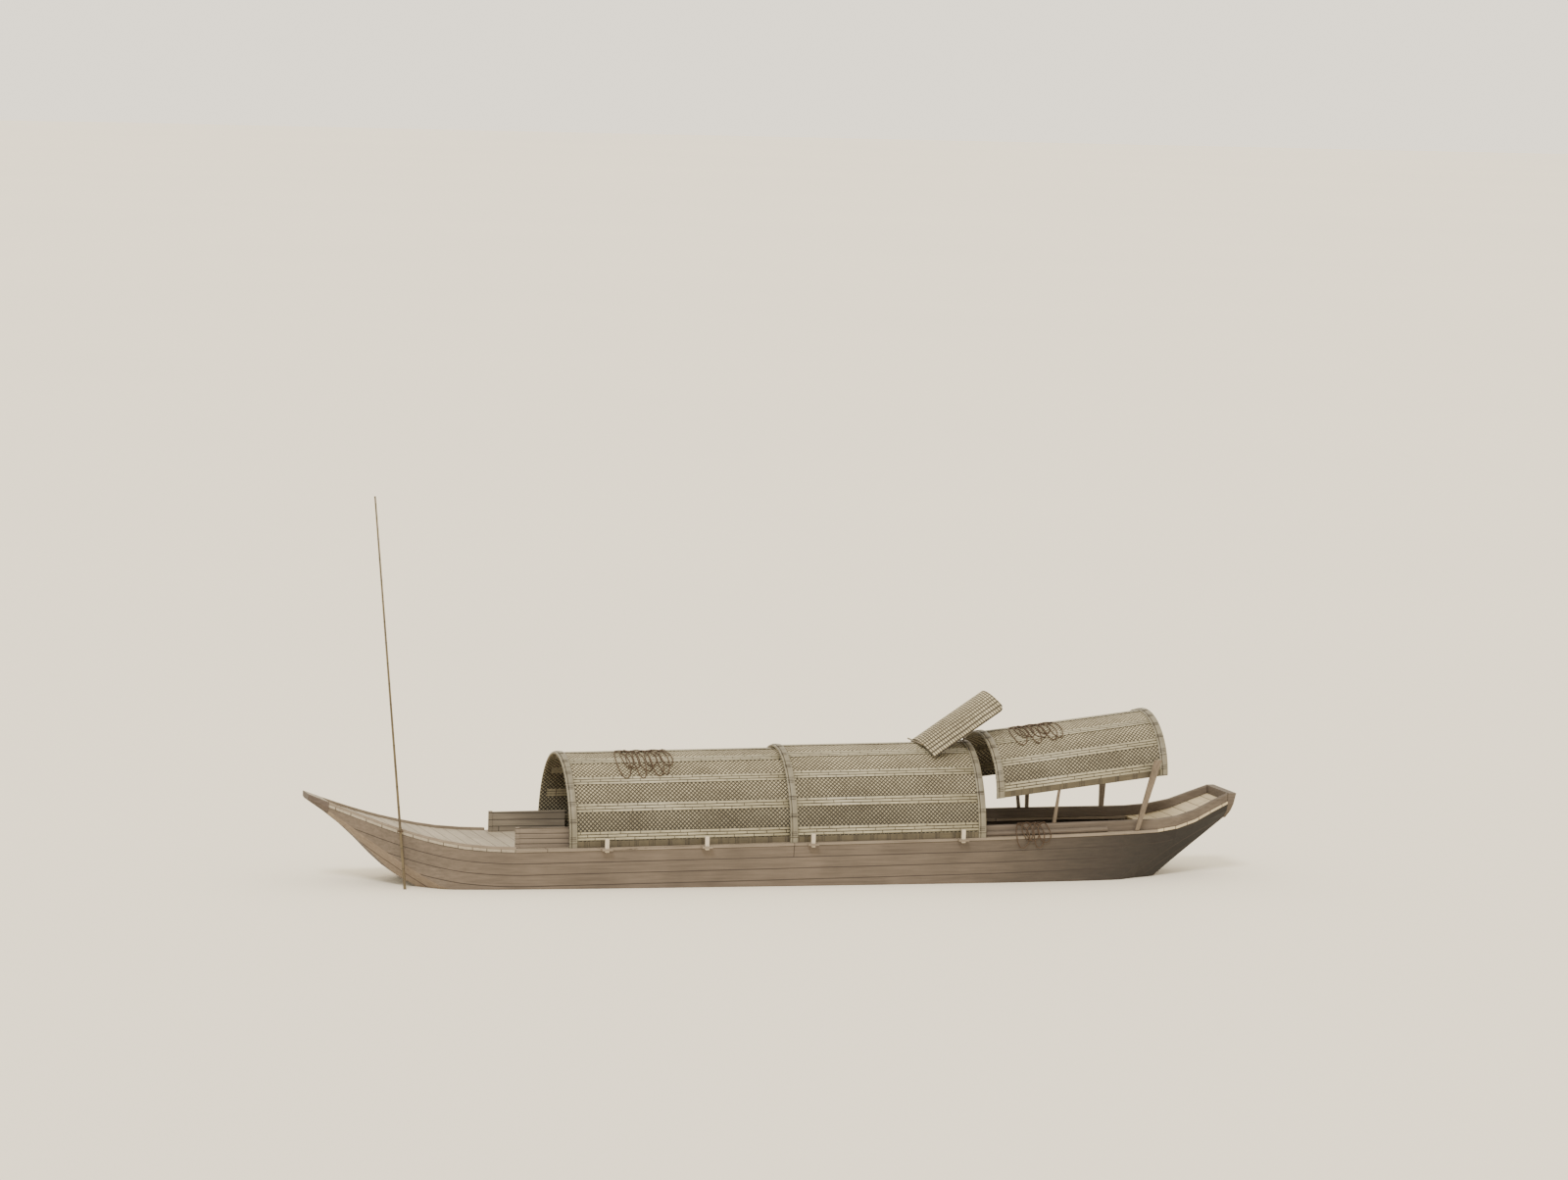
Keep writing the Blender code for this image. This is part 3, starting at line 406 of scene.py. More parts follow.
def woven_mat(name, slant, size):
    """Split bamboo and palm leaf: pale strips that dive under each other, with dark gaps and painted
    shade between them, darker towards the foot of the mat.

    The real strips are about 15 mm wide. They are drawn three to six times as wide, so that
    the weave shows at this size as it does in the picture. slant is the angle of the strips to
    the mat's edge; size is their width one way and the other.
    """
    made, tree = start_material(name)
    flat = add_node(tree, "ShaderNodeUVMap", uv_map="UVMap").outputs[0]
    wavy = add_node(tree, "ShaderNodeTexNoise", {"Vector": flat, "Scale": 1.6, "Detail": 2.0})
    bent = add_node(tree, "ShaderNodeVectorMath",
                    {0: wavy.outputs["Color"], 1: (0.05, 0.05, 0.0), 2: flat}, operation="MULTIPLY_ADD")
    turned = add_node(tree, "ShaderNodeMapping",
                      {"Vector": bent.outputs[0], "Rotation": (0.0, 0.0, math.radians(slant)),
                       "Scale": (1 / size[0], 1 / size[1], 1.0)})
    strips = add_node(tree, "ShaderNodeSeparateXYZ", {0: turned.outputs[0]})
    cells, mids = [], []
    for count in strips.outputs[:2]:
        cells.append(add_node(tree, "ShaderNodeMath", {0: count}, operation="FLOOR").outputs[0])
        mids.append(add_node(tree, "ShaderNodeMath", {0: count, 1: 0.5},
                             operation="PINGPONG").outputs[0])
    total = add_node(tree, "ShaderNodeMath", {0: cells[0], 1: cells[1]}, operation="ADD").outputs[0]
    over = add_node(tree, "ShaderNodeMath", {0: total, 1: 1.0}, operation="PINGPONG").outputs[0]
    side = add_node(tree, "ShaderNodeMix", {0: over, 2: mids[0], 3: mids[1]},
                    data_type="FLOAT").outputs[0]
    run = add_node(tree, "ShaderNodeMix", {0: over, 2: mids[1], 3: mids[0]},
                   data_type="FLOAT").outputs[0]
    edge = add_node(tree, "ShaderNodeMapRange", {"Value": side, "From Min": 0.07, "From Max": 0.26},
                    interpolation_type="SMOOTHSTEP").outputs[0]
    dive = add_node(tree, "ShaderNodeMapRange", {"Value": run, "From Min": 0.02, "From Max": 0.30},
                    interpolation_type="SMOOTHSTEP").outputs[0]
    height = add_node(tree, "ShaderNodeMath", {0: edge, 1: dive}, operation="MULTIPLY").outputs[0]
    key = add_node(tree, "ShaderNodeCombineXYZ", {0: cells[0], 1: cells[1], 2: over})
    own = add_node(tree, "ShaderNodeTexWhiteNoise", {"Vector": key.outputs[0]},
                   noise_dimensions="3D").outputs[0]
    bleached = add_node(tree, "ShaderNodeTexNoise",
                        {"Vector": flat, "Scale": 0.9, "Detail": 5.0}).outputs[0]
    tone = add_node(tree, "ShaderNodeMath", {0: own, 1: 0.22, 2: bleached},
                    operation="MULTIPLY_ADD").outputs[0]
    share = add_node(tree, "ShaderNodeMapRange",
                     {"Value": tone, "From Min": 0.35, "From Max": 0.85}).outputs[0]
    leaf = add_node(tree, "ShaderNodeMix", {0: share, 6: linear("#8a8067"), 7: linear("#bdb396")},
                    data_type="RGBA").outputs[2]
    # Dark gaps between the strips, and painted shade along their sides and where they dive under
    weave_with_shade = add_node(tree, "ShaderNodeMix", {0: height, 6: linear("#2f2819"), 7: leaf},
                     data_type="RGBA").outputs[2]
    # The mat grows darker away from the ridge, towards its foot
    down = add_node(tree, "ShaderNodeSeparateXYZ", {0: flat}).outputs[1]
    low = add_node(tree, "ShaderNodeMath", {0: down}, operation="ABSOLUTE").outputs[0]
    darker_to_foot = add_node(tree, "ShaderNodeMapRange", {"Value": low, "From Min": 0.6, "From Max": 1.9,
                                                 "To Min": 1.0, "To Max": 0.46}).outputs[0]
    colour = add_node(tree, "ShaderNodeMix", {0: 1.0, 6: weave_with_shade, 7: darker_to_foot},
                      data_type="RGBA", blend_type="MULTIPLY").outputs[2]
    close_material(tree, colour, 0.78, height, 0.010)
    return made


def split_bamboo(name, light, dark, width):
    """Split bamboo, skin side out: faint fibre streaks, a dark ring at each node, darker edges.

    width is the strip's own, from edge to edge; NO_EDGE leaves the darkening along them out.
    """
    made, tree = start_material(name)
    flat = add_node(tree, "ShaderNodeUVMap", uv_map="UVMap").outputs[0]
    axes = add_node(tree, "ShaderNodeSeparateXYZ", {0: flat})
    stretched = add_node(tree, "ShaderNodeMapping", {"Vector": flat, "Scale": (1.5, 60.0, 1.0)})
    fibres = add_node(tree, "ShaderNodeTexNoise",
                      {"Vector": stretched.outputs[0], "Scale": 1.0, "Detail": 5.0})
    stains = add_node(tree, "ShaderNodeTexNoise", {"Vector": flat, "Scale": 4.0, "Detail": 4.0})
    joint = add_node(tree, "ShaderNodeMath", {0: axes.outputs[0], 1: BAMBOO_NODE},
                     operation="DIVIDE").outputs[0]
    near = add_node(tree, "ShaderNodeMath", {0: joint, 1: 0.5}, operation="PINGPONG").outputs[0]
    ring = add_node(tree, "ShaderNodeMapRange", {"Value": near, "From Min": 0.006, "From Max": 0.030},
                    interpolation_type="SMOOTHSTEP").outputs[0]
    blend = add_node(tree, "ShaderNodeMath", {0: fibres.outputs[0], 1: 0.8, 2: stains.outputs[0]},
                     operation="MULTIPLY_ADD").outputs[0]
    share = add_node(tree, "ShaderNodeMapRange",
                     {"Value": blend, "From Min": 0.60, "From Max": 1.20}).outputs[0]
    skin = add_node(tree, "ShaderNodeMix", {0: share, 6: linear(dark), 7: linear(light)},
                    data_type="RGBA").outputs[2]
    # Darker along the strip's edges, as well as at its nodes
    off_middle = add_node(tree, "ShaderNodeMath", {0: axes.outputs[1]}, operation="ABSOLUTE").outputs[0]
    off_edge = add_node(tree, "ShaderNodeMapRange",
                     {"Value": off_middle, "From Min": 0.5 * width,
                      "From Max": 0.5 * width - DARK_EDGE_REACH}).outputs[0]
    whole = add_node(tree, "ShaderNodeMath", {0: ring, 1: off_edge}, operation="MULTIPLY").outputs[0]
    colour = add_node(tree, "ShaderNodeMix", {0: whole, 6: linear(NODE_AND_EDGE_DARK), 7: skin},
                      data_type="RGBA").outputs[2]
    relief = add_node(tree, "ShaderNodeMath", {0: fibres.outputs[0], 1: 0.25, 2: ring},
                      operation="MULTIPLY_ADD")
    close_material(tree, colour, 0.48, relief.outputs[0], 0.003)
    return made


def twisted_rope():
    """Rope of twisted plant fibre: strands slant round it, and loose hairs dull it."""
    made, tree = start_material("twisted_fibre_rope")
    flat = add_node(tree, "ShaderNodeUVMap", uv_map="UVMap").outputs[0]
    strands = add_node(tree, "ShaderNodeMapping",
                       {"Vector": flat, "Rotation": (0.0, 0.0, math.radians(35.0)),
                        "Scale": (3.0, 3.0, 1.0)})
    twist = add_node(tree, "ShaderNodeTexWave",
                     {"Vector": strands.outputs[0], "Scale": 6.0, "Distortion": 0.6})
    hairs = add_node(tree, "ShaderNodeTexNoise", {"Vector": flat, "Scale": 90.0, "Detail": 3.0})
    blend = add_node(tree, "ShaderNodeMath", {0: hairs.outputs[0], 1: 0.5, 2: twist.outputs["Fac"]},
                     operation="MULTIPLY_ADD").outputs[0]
    share = add_node(tree, "ShaderNodeMapRange",
                     {"Value": blend, "From Min": 0.2, "From Max": 1.3}).outputs[0]
    colour = add_node(tree, "ShaderNodeMix", {0: share, 6: linear("#2c211a"), 7: linear("#58442f")},
                      data_type="RGBA").outputs[2]
    close_material(tree, colour, 0.92, blend, 0.003)
    return made


# Finishes of this boat, with the widths and lengths of their boards in metres

# The last pair of tones on the hull and bilge planking paints shade at the stern
HULL_FIR = fir("oiled_fir_strakes", ("#73685d", "#524940", "#2b221c"), ALONG_GRAIN,
               (under_sheer, 0.215, NO_BUTTS), ("#45403b", "#f4f0ec"))
BILGE_FIR = fir("oiled_fir_bilge", ("#8c8072", "#675b4f", "#30261f"), ALONG_GRAIN,
                (under_chine, 0.180, NO_BUTTS), ("#2a2723", "#f4efea"))
BOTTOM_FIR = fir("tarred_fir_bottom", ("#5f534b", "#40362f", "#1d1814"), ALONG_GRAIN,
                 (along_boat, 0.24, 5.2))
DECK_FIR = fir("scrubbed_fir_deck", ("#a09685", "#807666", "#43392d"), ATHWART_GRAIN,
               (athwart, 0.265, 7.0))
STERN_FIR = fir("scrubbed_fir_stern_deck", ("#c1b294", "#a09175", "#514430"), ATHWART_GRAIN,
                (athwart, 0.255, 7.0))
SOLE_FIR = fir("worn_fir_sole", ("#988a74", "#726552", "#342b21"), ALONG_GRAIN, (along_boat, 0.19, 3.1))
LEDGE_FIR = fir("worn_fir_ledge", ("#85796a", "#65594b", "#3a3027"), ALONG_GRAIN, (athwart, 4.7, 9.0))
DARK_FIR = fir("weathered_fir_rail", ("#655a4e", "#463c33", "#241c16"), ALONG_GRAIN)
POST_FIR = fir("weathered_fir_post", ("#7a6d5e", "#50463b", "#2a211a"), UPRIGHT_GRAIN)
PEG_FIR = fir("light_fir_peg", ("#c6bba9", "#a59a87", "#4a3f31"), UPRIGHT_GRAIN)
BOARD_FIR = fir("fir_washboard", ("#7b6f62", "#594f44", "#30271f"), ALONG_GRAIN,
                (stacked, 0.095, 9.0))
GREY_FIR = fir("grey_fir_washboard", ("#857b6c", "#61594c", "#2b2620"), ALONG_GRAIN,
               (stacked, 0.125, 9.0))
WOVEN_MAT = woven_mat("woven_roof_mat", 45.0, (WEAVE_STRIP, WEAVE_STRIP))
FLAP_WEAVE = woven_mat("woven_flap_mat", 0.0, (0.9 * WEAVE_STRIP, 1.7 * WEAVE_STRIP))
BAMBOO = split_bamboo("split_bamboo_lath", "#a39c84", "#7f7862", LATH_WIDTH)
# Painted shade: a darker copy of the lath bamboo, for the laths inside the roofs
SHADED_INNER_BAMBOO = split_bamboo("shaded_inner_bamboo_lath", "#857d66", "#665f4c", LATH_WIDTH)
RIM_BAMBOO = split_bamboo("split_bamboo_rim", "#7a7462", "#605a4a", RIM_BROAD * RIM_WIDTH)
FOOT_BAMBOO = split_bamboo("split_bamboo_foot_rail", "#544b37", "#3d3627", FOOT_RAIL)
CANE = split_bamboo("cane_lashing", "#3c3325", "#261f16", NO_EDGE)
POLE_BAMBOO = split_bamboo("pole_bamboo", "#65583c", "#42382a", NO_EDGE)
ROPE = twisted_rope()


# CAD pieces: worn arrises and new finishes

def worn(node, look, arris):
    """Copy of a wooden piece with its arrises worn round, in place of the sharp one."""
    bm = bmesh.new()
    bm.from_mesh(frame["nodes"][node].data)
    bmesh.ops.remove_doubles(bm, verts=bm.verts[:], dist=0.00002)
    bmesh.ops.dissolve_limit(bm, angle_limit=math.radians(1.0), verts=bm.verts[:], edges=bm.edges[:])
    sharp = [e for e in bm.edges if e.is_manifold and e.calc_face_angle(0.0) > math.radians(30.0)]
    bmesh.ops.bevel(bm, geom=sharp, offset=arris, offset_type="OFFSET", segments=2, profile=0.5,
                    affect="EDGES", material=-1, clamp_overlap=True)
    piece = show(node + "_worn", bm, body_of(node), look)
    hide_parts(node)
    return piece


def paint_shade_on_steep_faces(piece, look):
    """Paint shade on the steep and the downward faces of a piece with another, darker finish."""
    piece.data.materials.append(look)
    for face in piece.data.polygons:
        face.material_index = int(face.normal.z < 0.5)


def finish_wood():
    """Give every wooden CAD piece its finish, worn where hands, feet and ropes reach it."""
    keep = {"bottom_planking": BOTTOM_FIR}
    for side in ("port", "starboard"):
        keep["side_planking_" + side] = HULL_FIR
        keep["bilge_planking_" + side] = BILGE_FIR
    for node, look in keep.items():
        for slot in frame["nodes"][node].material_slots:
            slot.material = look
    round_off = {
        "transom": (DARK_FIR, 0.010, "dark_wood"),
        "foredeck": (DECK_FIR, 0.004, "deck_wood"),
        "stern_deck": (STERN_FIR, 0.004, "deck_wood"),
        "cabin_sole": (SOLE_FIR, 0.004, "deck_wood"),
        "cockpit_sole": (SOLE_FIR, 0.004, "deck_wood"),
        "fore_bulkhead": (GREY_FIR, 0.004, "dark_wood"),
        "mid_bulkhead": (GREY_FIR, 0.004, "dark_wood"),
        "aft_bulkhead": (GREY_FIR, 0.004, "dark_wood"),
        "washboard_port": (BOARD_FIR, 0.005, "hull_wood"),
        "washboard_starboard": (GREY_FIR, 0.005, "dark_wood"),
        "side_spar": (DARK_FIR, 0.012, "dark_wood"),
        "stub_post_mid": (POST_FIR, 0.006, "dark_wood"),
        "stub_post_aft": (POST_FIR, 0.006, "dark_wood"),
        "flap_prop": (POST_FIR, 0.003, "bamboo"),
    }
    for side in ("port", "starboard"):
        round_off["fore_rail_" + side] = (LEDGE_FIR, 0.006, "hull_wood")
        round_off["quarter_rail_" + side] = (DARK_FIR, 0.010, "dark_wood")
        round_off["ledge_" + side] = (LEDGE_FIR, 0.005, "ledge_wood")
        round_off["after_post_" + side] = (POST_FIR, 0.007, "dark_wood")
        round_off["mid_post_" + side] = (POST_FIR, 0.004, "dark_wood")
        for number in range(1, 5):
            round_off["peg_{}_{}".format(side, number)] = (PEG_FIR, 0.007, "dark_wood")
    for node, (look, arris, slot) in round_off.items():
        worn(node, look, arris)
    # Bow block: a light top, and painted shade on its steep faces in the dark bottom wood
    paint_shade_on_steep_faces(worn("bow_block", DECK_FIR, 0.008), BOTTOM_FIR)


# Barrel roofs: arches read from the mats

class Arch:
    """Outer face of a mat: its foot, half-width and rise at each end, and the way round it."""

    def __init__(self, node):
        low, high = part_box(node)
        self.ends = []
        for x in (low.x, high.x):
            rim = [v.co for v in frame["nodes"][node].data.vertices if abs(v.co.x - x) < 0.001]
            foot = min(p.z for p in rim)
            self.ends.append((x, foot, max(p.y for p in rim), max(p.z for p in rim) - foot))
        (_, _, half, rise), (_, _, half_b, rise_b) = self.ends
        half, rise = (half + half_b) / 2, (rise + rise_b) / 2
        self.arcs = [0.0]
        for i in range(90):
            a, b = math.radians(i), math.radians(i + 1)
            step = math.hypot(half * (math.sin(b) - math.sin(a)), rise * (math.cos(b) - math.cos(a)))
            self.arcs.append(self.arcs[-1] + step)
        self.reach = self.arcs[-1]

    def angle_at(self, arc):
        """Angle from the ridge, positive to port, of a way round the arch."""
        away = min(abs(arc), self.reach)
        i = min(bisect_right(self.arcs, away) - 1, 89)
        degrees = i + (away - self.arcs[i]) / (self.arcs[i + 1] - self.arcs[i])
        return math.copysign(math.radians(degrees), arc)

    def arc_to(self, degrees):
        """Way round the arch to an angle in degrees."""
        i = min(int(abs(degrees)), 89)
        way = self.arcs[i] + (abs(degrees) - i) * (self.arcs[i + 1] - self.arcs[i])
        return math.copysign(way, degrees)

    def at(self, x, arc, lift):
        """Point over the mat at x, a way round from the ridge and a lift off the mat."""
        (x0, foot0, half0, rise0), (x1, foot1, half1, rise1) = self.ends
        share = (x - x0) / (x1 - x0)
        foot = foot0 + share * (foot1 - foot0)
        half = half0 + share * (half1 - half0)
        rise = rise0 + share * (rise1 - rise0)
        turn = self.angle_at(arc)
        s, c = math.sin(turn), math.cos(turn)
        out = Vector((s / half, c / rise)).normalized() * lift
        return Vector((x, half * s + out.x, foot + rise * c + out.y))


FRONT = Arch("front_roof_mat")
MIDDLE = Arch("middle_roof_mat")
CANOPY = Arch("canopy_mat")


def belly(x, arc):
    """How far the mat sinks between its laths, never the same twice."""
    wave = math.sin(2.3 * x + 0.7) * math.sin(3.1 * arc + 1.1) + 0.6 * math.sin(5.9 * x + 2.7 * arc)
    return MAT_BELLY * (0.5 + wave / 3.2)


def bent_sheet(x_faces, y_faces, flat, bent):
    """Sheet laid out flat for its map, then bent into its place."""
    bm = new_piece()
    layer = bm.loops.layers.uv.active
    bmesh.ops.create_grid(bm, x_segments=x_faces, y_segments=y_faces, size=0.5)
    for vertex in bm.verts:
        x, y, _ = vertex.co
        vertex.co = Vector((*flat(x + 0.5, y), 0.0))
    for face in bm.faces:
        for loop in face.loops:
            loop[layer].uv = (loop.vert.co.x, loop.vert.co.y)
    for vertex in bm.verts:
        x, y, _ = vertex.co
        vertex.co = bent(x, y)
    bmesh.ops.recalc_face_normals(bm, faces=bm.faces[:])
    return bm


def thicken(piece, thick):
    """Give a sheet its thickness, inward from the face that shows."""
    wall = piece.modifiers.new("wall", "SOLIDIFY")
    wall.thickness = thick
    wall.offset = -1.0


def build_mat(node, arch):
    """Mat bent over the roof, its weave drawn on its own flat sheet."""
    (x0, _, _, _), (x1, _, _, _) = arch.ends
    length, girth = x1 - x0, 2 * arch.reach
    bm = bent_sheet(round(length / MAT_MESH), round(girth / MAT_MESH),
                    lambda u, v: (x0 + u * length, v * girth),
                    lambda x, arc: arch.at(x, arc, -belly(x, arc)))
    piece = show(node + "_weave", bm, body_of(node), WOVEN_MAT)
    thicken(piece, MAT_THICK)
    piece.data.shade_smooth()
    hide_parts(node)


# Strips of split bamboo and cane

def strip(length, width, thick, cuts=0, soft=0.0):
    """Straight strip along X, upper edges rounded, cut across into even lengths."""
    bm = bmesh.new()
    size = Matrix.Diagonal((length, width, thick, 1.0))
    bmesh.ops.create_cube(bm, size=1.0, matrix=Matrix.Translation((length / 2, 0.0, thick / 2)) @ size)
    if soft:
        upper = [e for e in bm.edges if min(v.co.z for v in e.verts) > 0.9 * thick
                 and abs(e.verts[0].co.x - e.verts[1].co.x) > length / 2]
        bmesh.ops.bevel(bm, geom=upper, offset=soft, offset_type="OFFSET", segments=2, profile=0.5,
                        affect="EDGES", material=-1)
    if cuts:
        runs = [e for e in bm.edges if abs(e.verts[0].co.x - e.verts[1].co.x) > length / 2]
        bmesh.ops.subdivide_edges(bm, edges=runs, cuts=cuts, use_grid_fill=True)
    return bm


def lay(target, part, place, shift=0.0):
    """Bend a strip into its place and add it to a piece, its map shifted along."""
    layer = part.loops.layers.uv.new("UVMap")
    top = max(v.co.z for v in part.verts)
    for face in part.faces:
        for loop in face.loops:
            x, y, z = loop.vert.co
            loop[layer].uv = (x + shift, y + math.copysign(top - z, y))
    for vertex in part.verts:
        vertex.co = place(*vertex.co)
    bmesh.ops.recalc_face_normals(part, faces=part.faces[:])
    mesh = bpy.data.meshes.new("strip")
    part.to_mesh(mesh)
    part.free()
    target.from_mesh(mesh)
    bpy.data.meshes.remove(mesh)


def build_laths(name, node, arch, bands, body):
    """Bands of three laths along the roof, outside and inside the mat, between its rims.

    The maps are shifted, outside from lath to lath and inside from band to band, so that the
    bamboo's nodes don't fall in line all round the roof.
    """
    low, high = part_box(node)
    start, end = low.x + LATH_END, high.x - LATH_END
    outer, inner = new_piece(), new_piece()
    for number, band in enumerate(bands):
        for row in LATH_ROWS:
            arc = arch.arc_to(band) + row * LATH_PITCH
            lay(outer, strip(end - start, LATH_WIDTH, LATH_THICK, 1, LATH_ROUND),
                lambda x, y, z: arch.at(start + x, arc + y, LATH_HAIR + z), 0.137 * (3 * number + row))
            lay(inner, strip(end - start, LATH_WIDTH, INNER_LATH, 1, 0.001),
                lambda x, y, z: arch.at(start + x, arc + y, -MAT_THICK - HAIR - z), 0.211 * number)
    show(name + "_laths", outer, body, BAMBOO).data.shade_smooth()
    # The inner laths take the darker bamboo, which paints the shade inside the roof
    show(name + "_inner_laths", inner, body, SHADED_INNER_BAMBOO).data.shade_smooth()


def build_rim(bm, arch, x0, x1, lift, thick, shift):
    """Flat strips of split bamboo round one end of a roof, a broad one and a thinner narrow one."""
    girth = 2 * arch.reach
    broad = RIM_BROAD * (x1 - x0)
    for start, width, high in ((x0, broad, thick), (x0 + broad, x1 - x0 - broad, thick * 0.75)):
        lay(bm, strip(girth, width - RIM_GAP, high, 72, RIM_ROUND),
            lambda s, y, z, u=start + width / 2: arch.at(u + y, s - arch.reach, lift + z), shift)


def build_lashing(bm, place, across, thick):
    """Three turns of cane over a rim or rail: place(u, v, lift), u across it and v along it."""
    for turn in CANE_TURNS:
        lay(bm, strip(across, CANE_WIDTH, CANE_PROUD, 5),
            lambda u, v, z: place(u, v + turn * CANE_PITCH, thick + z), 0.1 * turn)


def build_roof_frame(name, arch, bands, body, aft_thick):
    """Rims, laths and foot rails of a roof with all their lashings, in place of its plain frame."""
    node = name + "_frame"
    (x0, foot0, half0, _), (x1, foot1, half1, _) = arch.ends
    build_laths(name, node, arch, bands, body)
    rims, rails, canes = new_piece(), new_piece(), new_piece()
    count = round(2 * arch.reach / LASHING_PITCH)
    for start, thick in ((x0, aft_thick), (x1 - RIM_WIDTH, RIM_THICK)):
        build_rim(rims, arch, start, start + RIM_WIDTH, HAIR, thick, 0.21 * start)
        for number in range(count):
            way = (number + 0.5) * 2 * arch.reach / count - arch.reach

            def over_rim(u, v, lift, start=start, way=way):
                """Cane goes over the rim's faces and comes down to the mat at its edges."""
                hug = 1.0 - abs(2 * u / RIM_WIDTH - 1.0) ** 8
                return arch.at(start + u, way + v, lift * hug)

            build_lashing(canes, over_rim, RIM_WIDTH, thick + HAIR)
    run = (x0 + RIM_WIDTH, x1 - RIM_WIDTH)
    ties = round((run[1] - run[0]) / LASHING_PITCH)
    for side in (-1, 1):

        def on_foot(x, up, lift, side=side):
            """Place on the foot of the mat, up from its edge and out from its face."""
            share = (x - x0) / (x1 - x0)
            foot = foot0 + share * (foot1 - foot0)
            half = half0 + share * (half1 - half0)
            return Vector((x, side * (half + HAIR + lift), foot + up))

        lay(rails, strip(run[1] - run[0], FOOT_RAIL - RIM_GAP, LATH_THICK, 1, LATH_ROUND),
            lambda x, y, z: on_foot(run[0] + x, y + FOOT_RAIL / 2, z), 0.3)
        for number in range(ties):
            tie = run[0] + (number + 0.5) * (run[1] - run[0]) / ties
            build_lashing(canes, lambda u, v, z, tie=tie: on_foot(tie + v, 0.003 + u * 0.95, z),
                          FOOT_RAIL, LATH_THICK)
    piece = show(name + "_rims", rims, body, RIM_BAMBOO)
    piece.data.shade_smooth()
    piece.data.set_sharp_from_angle(angle=math.radians(40.0))
    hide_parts(node)
    show(name + "_foot_rails", rails, body, FOOT_BAMBOO)
    show(name + "_lashings", canes, body, CANE)


# Flap over the middle roof

def flap_width(way):
    """Half-width of the flap, drawn in round its free corners."""
    past = max(0.0, (way - FLAP_LENGTH + FLAP_CORNER) / FLAP_CORNER)
    return FLAP_HALF - FLAP_CORNER * (1.0 - math.sqrt(max(0.0, 1.0 - past * past)))


def on_flap(way, across, lift):
    """Point of the flap at a way from its hinge, with the curve of the roof it closes."""
    hinge = Vector(next(j["pos_m"] for j in frame["joints"] if j["name"] == "flap_hinge"))
    rise = MIDDLE.ends[0][3] * (math.sqrt(1.0 - (across / MIDDLE.ends[0][2]) ** 2) - 1.0)
    flat = Vector((-way, across, rise + lift))
    return hinge + Matrix.Rotation(math.radians(FLAP_SLOPE), 3, "Y") @ flat


def flat_flap(u, v):
    """Place on the flat flap of a share u from its hinge and a share v across it."""
    way = FLAP_START + u * (FLAP_LENGTH - FLAP_START)
    return way, v * 2 * flap_width(way)


def build_flap():
    """Mat of the flap, and the cane bound along its edges, above and below."""
    bm = bent_sheet(30, 16, flat_flap, lambda way, across:
                    on_flap(way, across, FLAP_THICK / 2 - belly(way, across) / 2))
    piece = show("flap_weave", bm, "flap", FLAP_WEAVE)
    thicken(piece, FLAP_THICK * 0.8)
    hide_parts("flap_mat")
    edging = new_piece()
    low = FLAP_THICK / 2 - EDGING_SINK
    inset = FLAP_EDGING / 2
    for side in (-1, 1):
        for face in (-1, 1):

            def beside(s, y, z, side=side, face=face):
                way = FLAP_START + s
                return on_flap(way, side * (flap_width(way) - EDGING_INSET - y), face * (low + z))

            lay(edging, strip(FLAP_LENGTH - FLAP_START, FLAP_EDGING, EDGING_THICK, 40, 0.002), beside,
                0.4 * side)
    for way in (FLAP_START + inset, FLAP_LENGTH - inset):
        for face in (-1, 1):
            width = 2 * flap_width(way) - EDGING_SHORT
            lay(edging, strip(width, FLAP_EDGING, EDGING_THICK, 12, 0.002),
                lambda s, y, z: on_flap(way + y, s - width / 2, face * (low + z)), 0.2)
    show("flap_edging", edging, "flap", CANE)


# Round bamboo

def stick(length, radius_a, radius_b):
    """Bamboo along X with a raised ring at every node."""
    bm = bmesh.new()
    turn = Matrix.Translation((length / 2, 0.0, 0.0)) @ Matrix.Rotation(math.radians(90.0), 4, "Y")
    bmesh.ops.create_cone(bm, cap_ends=True, segments=14, radius1=radius_a, radius2=radius_b,
                          depth=length, matrix=turn)
    joints = [BAMBOO_NODE * (i + 1) for i in range(int(length / BAMBOO_NODE))]
    for joint in joints:
        for offset in RING_CUTS:
            if RING_MARGIN < joint + offset < length - RING_MARGIN:
                bmesh.ops.bisect_plane(bm, geom=bm.verts[:] + bm.edges[:] + bm.faces[:], dist=0.00001,
                                       plane_co=(joint + offset, 0.0, 0.0), plane_no=(1.0, 0.0, 0.0))
    for vertex in bm.verts:
        if any(abs(vertex.co.x - joint) < RING_HALF for joint in joints):
            vertex.co.y *= RING_SWELL
            vertex.co.z *= RING_SWELL
    return bm


def lay_stick(name, node, start, end, radii):
    """Bamboo from a start to an end, in place of a CAD node."""
    turn = (end - start).normalized().to_track_quat("X", "Z")
    bm = new_piece()
    lay(bm, stick((end - start).length, *radii), lambda x, y, z: start + turn @ Vector((x, y, z)))
    piece = show(name, bm, body_of(node), POLE_BAMBOO)
    piece.data.shade_smooth()
    piece.data.set_sharp_from_angle(angle=math.radians(45.0))
    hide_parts(node)


def build_sticks():
    """The flap's hinge bar, and the pole, which tapers from its butt to its tip."""
    low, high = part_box("flap_hinge_bar")
    middle = (low + high) / 2
    lay_stick("hinge_cane", "flap_hinge_bar", Vector((middle.x, low.y, middle.z)),
              Vector((middle.x, high.y, middle.z)), ((high.z - low.z) / 2,) * 2)
    low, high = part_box("pole")
    y = (low.y + high.y) / 2
    lay_stick("pole_cane", "pole", Vector((low.x + POLE_RADIUS[0], y, low.z)),
              Vector((high.x - POLE_RADIUS[1], y, high.z)), POLE_RADIUS)


# Ropes

